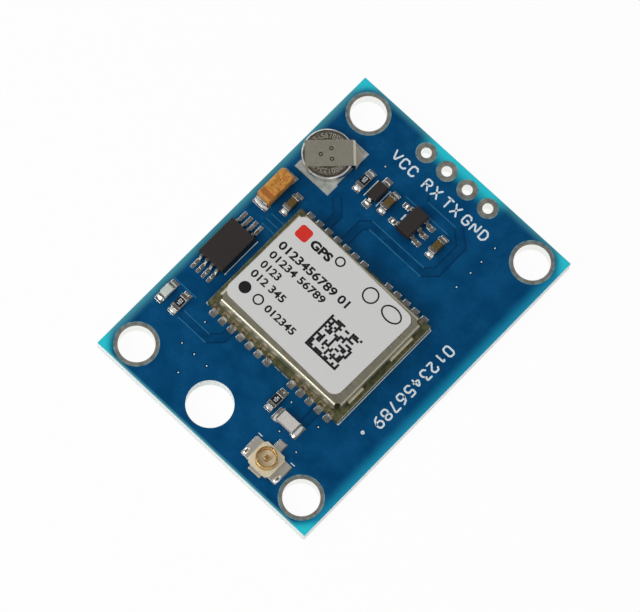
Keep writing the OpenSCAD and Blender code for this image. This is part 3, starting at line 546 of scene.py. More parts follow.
class CodeBlocks(Growth):
    """A square field of small blocks, some left out by a fixed seed, with two full edges."""

    name = "code_blocks"
    inputs = (("Points", "Geometry"), ("Count", "Int"), ("Pitch", "Float"), ("Height", "Float"), ("Seed", "Int"),
              ("Finish", "Material"))
    share = 0.5

    @classmethod
    def shapes(cls, wiring: Wiring, source: Mapping[str, Plug]) -> Plug:
        """Set a block on each point that the seed or an edge keeps.

        Args:
            wiring: The tree's wiring.
            source: The tree's input sockets.

        Returns:
            The blocks' socket.
        """
        pick = wiring.add("FunctionNodeRandomValue", {"Probability": cls.share, "Seed": source["Seed"]},
                          data_type="BOOLEAN")
        index = wiring.add("GeometryNodeInputIndex").outputs["Index"]
        first_row = wiring.add("FunctionNodeCompare", {2: index, 3: source["Count"]}, data_type="INT",
                               operation="LESS_THAN")
        column = wiring.maths("FLOORED_MODULO", index, source["Count"])
        kept = first_row.outputs["Result"]
        for other in (wiring.maths("LESS_THAN", column, 0.5), pick.outputs[3]):
            kept = wiring.add("FunctionNodeBooleanMath", {0: kept, 1: other}, operation="OR").outputs[0]
        size = wiring.add("ShaderNodeCombineXYZ", {"X": source["Pitch"], "Y": source["Pitch"], "Z": source["Height"]})
        block = wiring.add("GeometryNodeMeshCube", {"Size": size.outputs["Vector"]})
        return wiring.add("GeometryNodeInstanceOnPoints",
                          {"Points": source["Points"], "Selection": kept,
                           "Instance": block.outputs["Mesh"]}).outputs["Instances"]


@dataclass(frozen=True)
class Island:
    """One solid of a CAD node, by its box and its points, in metres."""

    low: Vector
    high: Vector
    points: tuple[Vector, ...]

    @property
    def middle(self) -> Vector:
        """The middle of the box."""
        return (self.low + self.high) / 2

    @property
    def span(self) -> Vector:
        """The box's sides."""
        return self.high - self.low


class Workshop:
    """Makes meshes, runs node trees and attaches finished pieces to the board's root. Sizes are in millimetres.

    A crease is the angle in degrees above which an edge stays sharp. FLAT and SHARP are angles in degrees too.
    """

    STROKE_CREASE = 30.0
    SHAPE_CREASE = 50.0
    ROUND_CREASE = 12.0
    WELD = 0.0005
    TIGHT_WELD = 0.0001
    FLAT = 0.5
    SHARP = 35.0
    PLATE_STEPS = 4
    ROUND_STEPS = 2
    GRID = 0.001
    PLACES = 5

    @staticmethod
    def box(node: str) -> tuple[Vector, Vector]:
        """Give a CAD node's lowest and highest corners in millimetres."""
        low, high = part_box(node)
        return low / MM, high / MM

    @staticmethod
    def linked(name: str, data: bpy.types.ID) -> bpy.types.Object:
        """Make an object and link it to the scene.

        Args:
            name: The object's name.
            data: Its mesh, curve, lamp or camera.

        Returns:
            The object.
        """
        made = bpy.data.objects.new(name, data)
        bpy.context.scene.collection.objects.link(made)
        return made

    @staticmethod
    def kept(work: bmesh.types.BMesh, name: str) -> Mesh:
        """Turn a worked mesh into a plain one.

        Args:
            work: The worked mesh, which is freed.
            name: The new mesh's name.

        Returns:
            The plain mesh.
        """
        mesh = bpy.data.meshes.new(name)
        work.to_mesh(mesh)
        work.free()
        return mesh

    @staticmethod
    def evaluated(holder: bpy.types.Object, name: str) -> Mesh:
        """Keep what an object shows as a plain mesh, and remove the object.

        Args:
            holder: The object.
            name: The new mesh's name.

        Returns:
            The plain mesh.
        """
        mesh = bpy.data.meshes.new_from_object(holder.evaluated_get(bpy.context.evaluated_depsgraph_get()))
        mesh.name = name
        holder.modifiers.clear()
        bpy.data.objects.remove(holder)
        return mesh

    @classmethod
    def piece(cls, name: str, mesh: Mesh, finish: Finish, slot: Slot, replaced: Sequence[str] = ()) -> None:
        """Make a mesh a finished piece of the board.

        Args:
            name: The piece's name.
            mesh: Its mesh, in its place.
            finish: Its finish.
            slot: The record's slot that it belongs to; not used.
            replaced: CAD nodes that it stands for.
        """
        made = cls.linked(name, mesh)
        mesh.materials.clear()
        mesh.materials.append(finish.material())
        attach(made, "root")
        if replaced:
            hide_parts(*replaced)
        LOG.info("%s: %d faces, %s", name, len(mesh.polygons), finish.name)

    @staticmethod
    def dress(finish: Finish, *nodes: str) -> None:
        """Give CAD nodes their finish.

        Args:
            finish: The finish.
            *nodes: The nodes' names.
        """
        for node in nodes:
            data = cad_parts[node].data
            if not data.materials:
                data.materials.append(finish.material())
            for index in range(len(data.materials)):
                data.materials[index] = finish.material()
            LOG.info("%s: CAD node, %s", node, finish.name)

    @classmethod
    def grown(cls, source: bpy.types.ID, tree: Tree, values: dict[str, Any], name: str) -> Mesh:
        """Run a Geometry Nodes tree on a curve or mesh and keep the result as a plain mesh.

        Args:
            source: The curve or mesh that the tree takes.
            tree: The tree.
            values: Its named inputs.
            name: The new mesh's name.

        Returns:
            The result.
        """
        holder = cls.linked(f"{name}.source", source)
        modifier = holder.modifiers.new("tree", "NODES")
        modifier.node_group = tree
        sockets = {item.name: item.identifier for item in tree.interface.items_tree if item.in_out == "INPUT"}
        for label, value in values.items():
            modifier[sockets[label]] = value
        return cls.evaluated(holder, name)

    @classmethod
    def strokes(cls, name: str, paths: Iterable[Path], level: float, width: float, height: float, finish: Finish,
                corner: float = 0.0) -> Mesh:
        """Draw flat strokes along paths.

        Args:
            name: The mesh's name.
            paths: Paths in plan.
            level: The height of the surface under them.
            width: The stroke's width.
            height: How far a stroke stands above the surface.
            finish: The strokes' finish.
            corner: The radius that eases the paths' corners.

        Returns:
            The strokes' mesh.
        """
        curve = bpy.data.curves.new(f"{name}.paths", "CURVE")
        curve.dimensions = "3D"
        for path in paths:
            spline = curve.splines.new("POLY")
            closed = path[0] == path[-1]
            points = list(path[:-1] if closed else path)
            spline.points.add(len(points) - 1)
            for dot, (x, y) in zip(spline.points, points):
                dot.co = (x * MM, y * MM, (level + 0.5 * height) * MM, 1.0)
            spline.use_cyclic_u = closed
        values = {"Width": width * MM, "Height": height * MM, "Corner": corner * MM, "Finish": finish.material()}
        mesh = cls.grown(curve, Ribbon.tree(), values, name)
        cls.smooth(mesh, cls.STROKE_CREASE)
        return mesh

    @classmethod
    def draw(cls, name: str, paths: Iterable[Path], level: float, width: float, height: float, finish: Finish,
             slot: Slot, corner: float = 0.0) -> None:
        """Draw flat strokes, with the same values as in strokes, and make them a piece."""
        cls.piece(name, cls.strokes(name, paths, level, width, height, finish, corner), finish, slot)

    @classmethod
    def scattered(cls, name: str, shape: Mesh, spots: Sequence[Spot], finish: Finish) -> Mesh:
        """Set one shape on many spots.

        Args:
            name: The mesh's name.
            shape: The shape, about its own origin.
            spots: A place in metres, a turn about the upright in radians and a size for each.
            finish: The shapes' finish.

        Returns:
            The mesh of all of them.
        """
        points = bpy.data.meshes.new(f"{name}.points")
        points.from_pydata([spot[0] for spot in spots], [], [])
        turn, size = (points.attributes.new(label, "FLOAT_VECTOR", "POINT") for label in ("turn", "size"))
        for index, (_, angle, scale) in enumerate(spots):
            turn.data[index].vector = (0.0, 0.0, angle)
            size.data[index].vector = scale
        pattern = cls.linked(f"{name}.shape", shape)
        mesh = cls.grown(points, Scatter.tree(), {"Shape": pattern, "Finish": finish.material()}, name)
        bpy.data.objects.remove(pattern)
        cls.smooth(mesh, cls.SHAPE_CREASE)
        return mesh

    @classmethod
    def strew(cls, name: str, shape: Mesh, spots: Sequence[Spot], finish: Finish, slot: Slot) -> None:
        """Set one shape on many spots, with the same values as in scattered, and make them a piece."""
        cls.piece(name, cls.scattered(name, shape, spots, finish), finish, slot)

    @staticmethod
    def smooth(mesh: Mesh, crease: float) -> None:
        """Shade a mesh smooth up to its creases."""
        mesh.polygons.foreach_set("use_smooth", [True] * len(mesh.polygons))
        mesh.set_sharp_from_angle(angle=math.radians(crease))

    @classmethod
    def softened(cls, node: str, radius: float) -> Mesh:
        """Copy a CAD node's mesh with its edges rounded.

        Args:
            node: The node's name.
            radius: The rounding.

        Returns:
            The rounded copy.
        """
        work = bmesh.new()
        work.from_mesh(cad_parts[node].data)
        bmesh.ops.remove_doubles(work, verts=work.verts, dist=cls.WELD * MM)
        bmesh.ops.dissolve_limit(work, angle_limit=math.radians(cls.FLAT), verts=work.verts, edges=work.edges)
        sharp = [edge for edge in work.edges
                 if len(edge.link_faces) == 2 and edge.calc_face_angle(0.0) > math.radians(cls.SHARP)]
        bmesh.ops.bevel(work, geom=sharp, offset=radius * MM, segments=cls.ROUND_STEPS, profile=0.5, affect="EDGES",
                        clamp_overlap=True)
        mesh = cls.kept(work, f"{node}.soft")
        for label in [one.name for one in mesh.attributes if one.name == "custom_normal"]:
            mesh.attributes.remove(mesh.attributes[label])
        cls.smooth(mesh, cls.ROUND_CREASE)
        return mesh

    @classmethod
    def round_off(cls, rows: Iterable[tuple[str, float, Finish, Slot]]) -> None:
        """Make rounded pieces that stand for CAD nodes, from each node's name, rounding, finish and slot."""
        for node, radius, finish, slot in rows:
            cls.piece(f"{node}_soft", cls.softened(node, radius), finish, slot, (node,))

    @classmethod
    def plate(cls, name: str, middle: Point, wide: float, high: float, level: float, thick: float,
              corner: float) -> Mesh:
        """Make a flat plate with rounded corners.

        Args:
            name: The mesh's name.
            middle: Its middle in plan.
            wide: Its width.
            high: Its length.
            level: The height of its lower face.
            thick: Its thickness.
            corner: The radius of its corners.

        Returns:
            The plate's mesh.
        """
        work = bmesh.new()
        bmesh.ops.create_cube(work, size=1.0)
        bmesh.ops.scale(work, verts=work.verts, vec=Vector((wide, high, thick)) * MM)
        bmesh.ops.translate(work, verts=work.verts, vec=Vector((*middle, level + 0.5 * thick)) * MM)
        upright = [edge for edge in work.edges if abs(edge.verts[0].co.z - edge.verts[1].co.z) > 0.5 * thick * MM]
        bmesh.ops.bevel(work, geom=upright, offset=corner * MM, segments=cls.PLATE_STEPS, profile=0.5, affect="EDGES")
        return cls.kept(work, name)

    @classmethod
    def islands(cls, node: str) -> list[Island]:
        """Part a CAD node's mesh into its solids.

        Args:
            node: The node's name.

        Returns:
            The solids, from low to high X, then Y.
        """
        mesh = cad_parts[node].data
        keys = [tuple(round(c / (cls.GRID * MM)) for c in vertex.co) for vertex in mesh.vertices]
        parent: dict[tuple[int, ...], tuple[int, ...]] = {key: key for key in keys}

        def root(key: tuple[int, ...]) -> tuple[int, ...]:
            """Follow a key to its solid's first key."""
            while parent[key] != key:
                parent[key] = parent[parent[key]]
                key = parent[key]
            return key

        for face in mesh.polygons:
            first = root(keys[face.vertices[0]])
            for corner in face.vertices[1:]:
                parent[root(keys[corner])] = first
        solids: dict[tuple[int, ...], list[Vector]] = {}
        for key, vertex in zip(keys, mesh.vertices):
            solids.setdefault(root(key), []).append(vertex.co.copy())
        found = []
        for points in solids.values():
            low = Vector([min(point[axis] for point in points) for axis in range(3)])
            high = Vector([max(point[axis] for point in points) for axis in range(3)])
            found.append(Island(low, high, tuple(points)))
        return sorted(found, key=lambda one: tuple(round(c, cls.PLACES) for c in one.middle.xy))

    @classmethod
    def lathe(cls, name: str, profile: Sequence[Point], around: int = 24) -> Mesh:
        """Turn a closed-ended profile about the upright.

        Args:
            name: The mesh's name.
            profile: Radius and height, from the lower end to the upper.
            around: Faces round the turn.

        Returns:
            The turned mesh.
        """
        work = bmesh.new()
        rings = []
        for radius, height in profile:
            turns = [2 * math.pi * step / around for step in range(around if radius > 0.0 else 1)]
            rings.append([work.verts.new((radius * MM * math.cos(turn), radius * MM * math.sin(turn), height * MM))
                          for turn in turns])
        for lower, upper in zip(rings, rings[1:]):
            for step in range(around):
                after = (step + 1) % around
                loop = [lower[step % len(lower)], lower[after % len(lower)],
                        upper[after % len(upper)], upper[step % len(upper)]]
                work.faces.new(list(dict.fromkeys(loop)))
        for ends, end in ((rings[0], -1), (rings[-1], 1)):
            if len(ends) > 1 and profile[0] != profile[-1]:
                work.faces.new(ends if end > 0 else ends[::-1])
        bmesh.ops.remove_doubles(work, verts=work.verts, dist=cls.TIGHT_WELD * MM)
        bmesh.ops.recalc_face_normals(work, faces=work.faces)
        mesh = cls.kept(work, name)
        cls.smooth(mesh, cls.SHAPE_CREASE)
        return mesh

    @classmethod
    def joined(cls, name: str, meshes: Sequence[Mesh]) -> Mesh:
        """Join meshes into one.

        Args:
            name: The new mesh's name.
            meshes: The meshes, each in its place.

        Returns:
            The joined mesh.
        """
        work = bmesh.new()
        for mesh in meshes:
            work.from_mesh(mesh)
        return cls.kept(work, name)


def turned(corner: Point, along: float, up: float, turn: float) -> Point:
    """Go along and up from a corner, in a reading direction that is turned by some degrees."""
    cos, sin = math.cos(math.radians(turn)), math.sin(math.radians(turn))
    return (corner[0] + along * cos - up * sin, corner[1] + along * sin + up * cos)


class Lettering:
    """Plain stroke letters and figures in a unit box."""

    STROKES: dict[str, tuple[Path, ...]] = {
        "0": (((0, .2), (0, .8), (.2, 1), (.8, 1), (1, .8), (1, .2), (.8, 0), (.2, 0), (0, .2)),),
        "1": (((.2, .75), (.55, 1), (.55, 0)),),
        "2": (((0, .78), (.2, 1), (.8, 1), (1, .8), (1, .62), (0, 0), (1, 0)),),
        "3": (((0, 1), (1, 1), (.45, .6), (.8, .6), (1, .42), (1, .2), (.8, 0), (.2, 0), (0, .18)),),
        "4": (((.75, 0), (.75, 1), (0, .3), (1, .3)),),
        "5": (((.95, 1), (.1, 1), (.05, .55), (.75, .6), (1, .4), (1, .2), (.8, 0), (.2, 0), (0, .15)),),
        "6": (((.85, 1), (.3, .85), (0, .45), (0, .2), (.2, 0), (.8, 0), (1, .2), (1, .4), (.8, .58), (.2, .58),
               (0, .4)),),
        "7": (((0, 1), (1, 1), (.4, 0)),),
        "8": (((.2, .54), (0, .72), (0, .84), (.2, 1), (.8, 1), (1, .84), (1, .72), (.8, .54), (.2, .54)),
              ((.2, .54), (0, .36), (0, .18), (.2, 0), (.8, 0), (1, .18), (1, .36), (.8, .54))),
        "9": (((.15, 0), (.7, .15), (1, .55), (1, .8), (.8, 1), (.2, 1), (0, .8), (0, .6), (.2, .42), (.8, .42),
               (1, .6)),),
        "C": (((1, .8), (.78, 1), (.22, 1), (0, .78), (0, .22), (.22, 0), (.78, 0), (1, .2)),),
        "D": (((0, 0), (0, 1), (.62, 1), (1, .7), (1, .3), (.62, 0), (0, 0)),),
        "G": (((1, .8), (.78, 1), (.22, 1), (0, .78), (0, .22), (.22, 0), (.78, 0), (1, .22), (1, .48), (.6, .48)),),
        "N": (((0, 0), (0, 1), (1, 0), (1, 1)),),
        "R": (((0, 0), (0, 1), (.72, 1), (1, .84), (1, .64), (.72, .48), (0, .48)), ((.5, .48), (1, 0))),
        "T": (((0, 1), (1, 1)), ((.5, 1), (.5, 0))),
        "V": (((0, 1), (.5, 0), (1, 1)),),
        "X": (((0, 0), (1, 1)), ((0, 1), (1, 0))),
    }

    @classmethod
    def place(cls, letter: str, corner: Point, width: float, height: float, turn: float = 0.0) -> list[Path]:
        """Give one letter's paths in a box, from the box's lower left corner in the reading direction."""
        return [[turned(corner, x * width, y * height, turn) for x, y in path] for path in cls.STROKES[letter]]

    @classmethod
    def row(cls, text: str, corner: Point, pitch: float, width: float, height: float,
            turn: float = 0.0) -> list[Path]:
        """Put a row of letters from a corner.

        Args:
            text: The letters.
            corner: The first letter's lower left corner.
            pitch: The step from letter to letter.
            width: A letter's width.
            height: A letter's height.
            turn: The turn of the reading direction in degrees.

        Returns:
            The letters' paths.
        """
        paths: list[Path] = []
        for index, letter in enumerate(text):
            paths += cls.place(letter, turned(corner, index * pitch, 0.0, turn), width, height, turn)
        return paths


def ring(middle: Point, wide: float, high: float, steps: int = 28) -> list[Point]:
    """Give the points of a closed oval.

    Args:
        middle: Its middle.
        wide: Its half width.
        high: Its half height.
        steps: How many points it has.

    Returns:
        The points, the first one again at the end.
    """
    turns = [2 * math.pi * step / steps for step in range(steps)]
    dots = [(middle[0] + wide * math.cos(turn), middle[1] + high * math.sin(turn)) for turn in turns]
    return dots + dots[:1]


def beside(path: Path, offset: float) -> list[Point]:
    """Run a path beside another one, with its corners kept.

    Args:
        path: The path.
        offset: How far to the left of it, or to the right if negative.

    Returns:
        The path beside it.
    """
    moved = []
    for index, dot in enumerate(path):
        here = Vector(dot)
        ways = []
        if index > 0:
            ways.append((here - Vector(path[index - 1])).normalized())
        if index < len(path) - 1:
            ways.append((Vector(path[index + 1]) - here).normalized())
        sides = [Vector((-way.y, way.x)) for way in ways]
        across = sum(sides, Vector((0.0, 0.0))).normalized()
        place = here + across * offset / max(across.dot(sides[0]), MITRE)
        moved.append((place.x, place.y))
    return moved


class Joints:
    """Solder joints shaped over the CAD joints, one smooth fillet and one pad for each.

    THIN, LEAN and LAP are in millimetres and CREASE is in degrees. HOLLOW and BULGE each give a share of a fillet's
    height and a power. LOWEST counts in THIN. The others are counts or shares of a joint's size.
    """

    ACROSS = 8
    OUTWARD = 7
    TAPER = 0.22
    HOLLOW = (0.82, 1.6)
    BULGE = (0.18, 4)
    CROWN = 0.55
    TOE = 0.12
    EDGE = 0.02
    PAD_EDGE = 0.1
    PAD_STEPS = 3
    THIN = 0.09
    LOWEST = 1.5
    CREST = 0.12
    LEAN = 0.02
    LAP = 0.01
    CREASE = 60.0

    @classmethod
    def fillet(cls) -> Mesh:
        """Shape a fillet one unit high and long and two wide, its wall at the origin and its toe at +Y.

        Returns:
            The fillet's mesh.
        """
        work = bmesh.new()
        across, outward = cls.ACROSS, cls.OUTWARD
        top, base = [], []
        for row in range(outward + 1):
            out = row / outward
            reach = 1.0 - cls.TAPER * out ** 3
            fall = cls.HOLLOW[0] * (1.0 - out) ** cls.HOLLOW[1] + cls.BULGE[0] * (1.0 - out ** cls.BULGE[1])
            top.append([])
            base.append([])
            for column in range(across + 1):
                side = 2.0 * column / across - 1.0
                crown = (1.0 - cls.CROWN * abs(side) ** 3) if row < outward else 0.0
                toe = out * (1.0 - cls.TOE * abs(side) ** 3)
                top[-1].append(work.verts.new((side * reach, toe, max(fall * crown, cls.EDGE))))
                base[-1].append(work.verts.new((side * reach, toe, 0.0)))
        for row in range(outward):
            for column in range(across):
                quad = ((row, column), (row, column + 1), (row + 1, column + 1), (row + 1, column))
                work.faces.new([top[r][c] for r, c in quad])
                work.faces.new([base[r][c] for r, c in reversed(quad)])
        rim = [(0, c) for c in range(across)] + [(r, across) for r in range(outward)]
        rim += [(outward, c) for c in range(across, 0, -1)] + [(r, 0) for r in range(outward, 0, -1)]
        for (r0, c0), (r1, c1) in zip(rim, rim[1:] + rim[:1]):
            work.faces.new((top[r0][c0], top[r1][c1], base[r1][c1], base[r0][c0]))
        bmesh.ops.recalc_face_normals(work, faces=work.faces)
        return Workshop.kept(work, "fillet")

    @classmethod
    def pad(cls) -> Mesh:
        """Shape a flat pad in a unit box with its upper edges and corners rounded.

        Returns:
            The pad's mesh.
        """
        work = bmesh.new()
        bmesh.ops.create_cube(work, size=1.0)
        bmesh.ops.translate(work, verts=work.verts, vec=(0.0, 0.0, 0.5))
        edges = [edge for edge in work.edges if max(v.co.z for v in edge.verts) > 0.5]
        bmesh.ops.bevel(work, geom=edges, offset=cls.PAD_EDGE, segments=cls.PAD_STEPS, profile=0.5, affect="EDGES",
                        clamp_overlap=True)
        return Workshop.kept(work, "pad")

    @classmethod
    def build(cls, name: str, node: str) -> None:
        """Lay smooth joints on the board where a CAD node has its solder.

        Args:
            name: The new piece's name.
            node: The CAD node.
        """
        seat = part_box("board")[1].z
        fillets: list[Spot] = []
        pads: list[Spot] = []
        for solid in Workshop.islands(node):
            rise = solid.high.z - seat
            upper = [p for p in solid.points if p.z > solid.high.z - cls.CREST * rise]
            crest = sum(upper, Vector()) / len(upper)
            lean = solid.middle - crest
            axis = 0 if abs(lean.x) > abs(lean.y) else 1
            pads.append((Vector((solid.middle.x, solid.middle.y, seat)), 0.0,
                         Vector((solid.span.x, solid.span.y, min(rise, cls.THIN * MM)))))
            if rise < cls.LOWEST * cls.THIN * MM or abs(lean[axis]) < cls.LEAN * MM:
                continue
            sign = 1.0 if lean[axis] > 0 else -1.0
            wall = crest[axis] - sign * cls.LAP * MM
            toe = solid.high[axis] if sign > 0 else solid.low[axis]
            place = solid.middle.copy()
            place[axis], place.z = wall, seat
            turn = -sign * math.pi / 2 if axis == 0 else (0.0 if sign > 0 else math.pi)
            fillets.append((place, turn, Vector((0.5 * solid.span[1 - axis], abs(toe - wall), rise))))
        parts = [Workshop.scattered(f"{name}.pads", cls.pad(), pads, Finishes.SOLDER)]
        if fillets:
            parts.append(Workshop.scattered(f"{name}.fillets", cls.fillet(), fillets, Finishes.SOLDER))
        mesh = Workshop.joined(name, parts)
        Workshop.smooth(mesh, cls.CREASE)
        Workshop.piece(name, mesh, Finishes.SOLDER, Slot.TIN, (node,))


@dataclass
class Board:
    """The bare board: mask, tracks under it, white print and tinned holes. Places and sizes are in millimetres."""

    band_width: float = 0.8
    ridge_width: float = 0.1
    lip_width: float = 0.1
    stroke: float = 0.17
    fine_stroke: float = 0.085
    bands: tuple[Path, ...] = (
        ((3.2, 12.9), (4.6, 11.7), (4.6, 8.5), (3.65, 7.55), (-2.75, 7.55), (-3.35, 6.95), (-3.35, 4.6)),
        ((-6.7, 7.35), (-5.5, 6.15), (-5.5, 4.6)),
        ((-9.2, -10.37), (-5.95, -10.37), (-4.95, -9.37), (-4.95, -8.5)),
        ((5.65, -8.5), (5.65, -10.3)),
    )
    lines: tuple[Path, ...] = (
        ((-0.9, 13.4), (-0.5, 12.75), (2.9, 12.75)),
        ((-2.3, 11.75), (2.9, 11.75)),
        ((-12.0, -8.35), (-9.3, -8.35)),
        ((-9.9, 2.1), (-8.4, 2.1)),
        ((-9.9, 1.45), (-8.4, 1.45)),
        ((-9.9, 0.85), (-8.4, 0.85)),
    )
    names: tuple[tuple[str, float, float], ...] = (
        ("V", -5.95, -5.05), ("C", -4.9, -4.08), ("C", -3.87, -3.05), ("R", -2.05, -1.25), ("X", -0.95, -0.1),
        ("T", 0.45, 1.25), ("X", 1.45, 2.3), ("G", 2.77, 3.6), ("N", 3.83, 4.65), ("D", 4.88, 5.7),
    )
    names_low: float = 13.48
    names_high: float = 14.42
    name_inset: float = 0.09
    figures: tuple[str, Point, float, float, float, float] = ("0123456789", (9.9, 4.1), 1.02, 0.62, 1.0, -90.0)
    triangle: Path = ((9.85, -7.18), (9.93, -6.86), (10.21, -7.09), (9.85, -7.18))
    frame_gap: Point = (0.12, 0.02)
    frame_hooks: Point = (0.25, 0.2)
    frame_dashes: tuple[Point, ...] = ((0.2, 0.75), (1.05, 1.85))
    diode_bar: Point = (0.75, 0.95)
    regulator_bar: tuple[float, float, float] = (-0.25, -0.25, 0.3)
    memory_bars: Point = (-0.07, 0.13)
    memory_ends: Point = (0.2, 0.1)
    socket_bars: Point = (-0.9, 0.45)
    socket_bar: Point = (0.4, 0.05)
    sunk: float = 0.004
    band_height: float = 0.016
    ridge_height: float = 0.026
    lit_slope: float = 1.2
    lip_sunk: float = 0.01
    lip_height: float = 0.03
    lip_points: int = 48
    ink_sunk: float = 0.002
    ink_height: float = 0.03
    ink_corner: float = 0.1
    fine_height: float = 0.028
    fine_corner: float = 0.05
    drop_radius: float = 0.2
    drop: tuple[Point, ...] = ((0.0, -0.4), (0.148, -0.4), (0.148, -0.39), (0.075, -0.3), (0.07, 0.004),
                               (0.045, 0.016), (0.0, 0.02))
    drop_faces: int = 14
    top: float = field(init=False)

    def __post_init__(self) -> None:
        """Read the height of the board's upper face."""
        self.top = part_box("board")[1].z / MM

    def dress(self) -> None:
        """Give the board and its plated holes their finishes."""
        Workshop.dress(Finishes.MASK, "board")
        Workshop.dress(Finishes.PLATED, "hole_plating", "header_plating")
        Workshop.dress(Finishes.BAND, "via_barrels")

    def build_tracks(self) -> None:
        """Lay the tracks that show through the mask, with painted highlights on their edges along X and painted shade
        on those along Y.
        """
        level = self.top - self.sunk
        Workshop.draw("track_bands", self.bands, level, self.band_width, self.band_height, Finishes.BAND, Slot.MASK)
        lit: list[Path] = []
        dark: list[Path] = []
        edges = [beside(path, side * self.band_width) for path in self.bands for side in (-0.5, 0.5)]
        for path in [*self.lines, *edges]:
            for start, end in zip(path, path[1:]):
                run, rise = abs(end[0] - start[0]), abs(end[1] - start[1])
                (lit if run > self.lit_slope * rise else dark).append((start, end))
        # edges along X take the painted highlight, the others the painted shade
        for name, paths, finish in (("track_edges", lit, Finishes.EDGE_HIGHLIGHT), ("track_sides", dark, Finishes.EDGE_SHADE)):
            Workshop.draw(name, paths, level, self.ridge_width, self.ridge_height, finish, Slot.MASK)

    def module_marks(self) -> list[Path]:
        """Give the white lines that frame the receiver.

        Returns:
            The lines' paths.
        """
        low, high = Workshop.box("carrier")
        out, inset = self.frame_gap
        left, right, near, far = low.x - out, high.x + out, low.y + inset, high.y - inset
        paths: list[Path] = [((x + hook, near), (x, near), (x, far), (x + hook, far))
                             for x, hook in ((left, self.frame_hooks[0]), (right, -self.frame_hooks[1]))]
        paths += [((start, near), (end, near)) for start, end in self.frame_dashes]
        return [*paths, ((self.frame_dashes[0][0], far), (self.frame_dashes[-1][1], far))]

    def chip_marks(self) -> list[Path]:
        """Give the white lines beside the chips.

        Returns:
            The lines' paths.
        """
        low, high = Workshop.box("diode_body")
        middle, (out, half) = (low + high) / 2, self.diode_bar
        paths: list[Path] = [((middle.x + side, middle.y - half), (middle.x + side, middle.y + half))
                             for side in (-out, out)]
        low, high = Workshop.box("memory_body")
        for x in (low.x + self.memory_bars[0], high.x + self.memory_bars[1]):
            paths.append(((x, low.y + self.memory_ends[0]), (x, high.y + self.memory_ends[1])))
        low, high = Workshop.box("socket_insulator")
        length, rise = self.socket_bar
        for x in (low.x + self.socket_bars[0], high.x + self.socket_bars[1]):
            paths.append(((x, high.y + rise), (x + length, high.y + rise)))
        return paths

    def build_lips(self) -> None:
        """Raise the mask's lip round each tinned ring, its pale tint a painted highlight."""
        hoops = []
        for node in ("hole_plating", "header_plating"):
            for solid in Workshop.islands(node):
                reach = 0.5 * solid.span.x / MM - 0.5 * self.lip_width
                hoops.append(ring((solid.middle.x / MM, solid.middle.y / MM), reach, reach, self.lip_points))
        Workshop.draw("ring_lips", hoops, self.top - self.lip_sunk, self.lip_width, self.lip_height, Finishes.RING_HIGHLIGHT,
                      Slot.MASK)

    def build_print(self) -> None:
        """Print the pin names, the figures along one edge and the marks round the chips."""
        paths: list[Path] = []
        for letter, left, right in self.names:
            paths += Lettering.place(letter, (left + self.name_inset, self.names_low),
                                     right - left - 2 * self.name_inset, self.names_high - self.names_low)
        paths += Lettering.row(*self.figures)
        paths.append(self.triangle)
        low, high = Workshop.box("regulator_body")
        out, start, end = self.regulator_bar
        middle = (low.y + high.y) / 2
        paths.append(((low.x + out, middle + start), (low.x + out, middle + end)))
        level = self.top - self.ink_sunk
        bold = Workshop.strokes("letters", paths, level, self.stroke, self.ink_height, Finishes.INK, self.ink_corner)
        fine = Workshop.strokes("marks", self.module_marks() + self.chip_marks(), level, self.fine_stroke,
                                self.fine_height, Finishes.INK, self.fine_corner)
        Workshop.piece("white_print", Workshop.joined("white_print", (bold, fine)), Finishes.INK, Slot.LABEL)

    def build_vias(self) -> None:
        """Fill each via's mouth with a drop whose pale cyan-white is a painted highlight."""
        unit = Vector((1.0, 1.0, 1.0))
        spots = [(Vector((solid.middle.x, solid.middle.y, solid.high.z)), 0.0,
                  unit * 0.5 * solid.span.x / (self.drop_radius * MM)) for solid in Workshop.islands("via_barrels")]
        Workshop.strew("via_drops", Workshop.lathe("drop", self.drop, self.drop_faces), spots, Finishes.VIA_HIGHLIGHT, Slot.TIN)

    def build(self) -> None:
        """Dress the board and build all that lies on it."""
        self.dress()
        self.build_tracks()
        self.build_lips()
        self.build_print()
        self.build_vias()


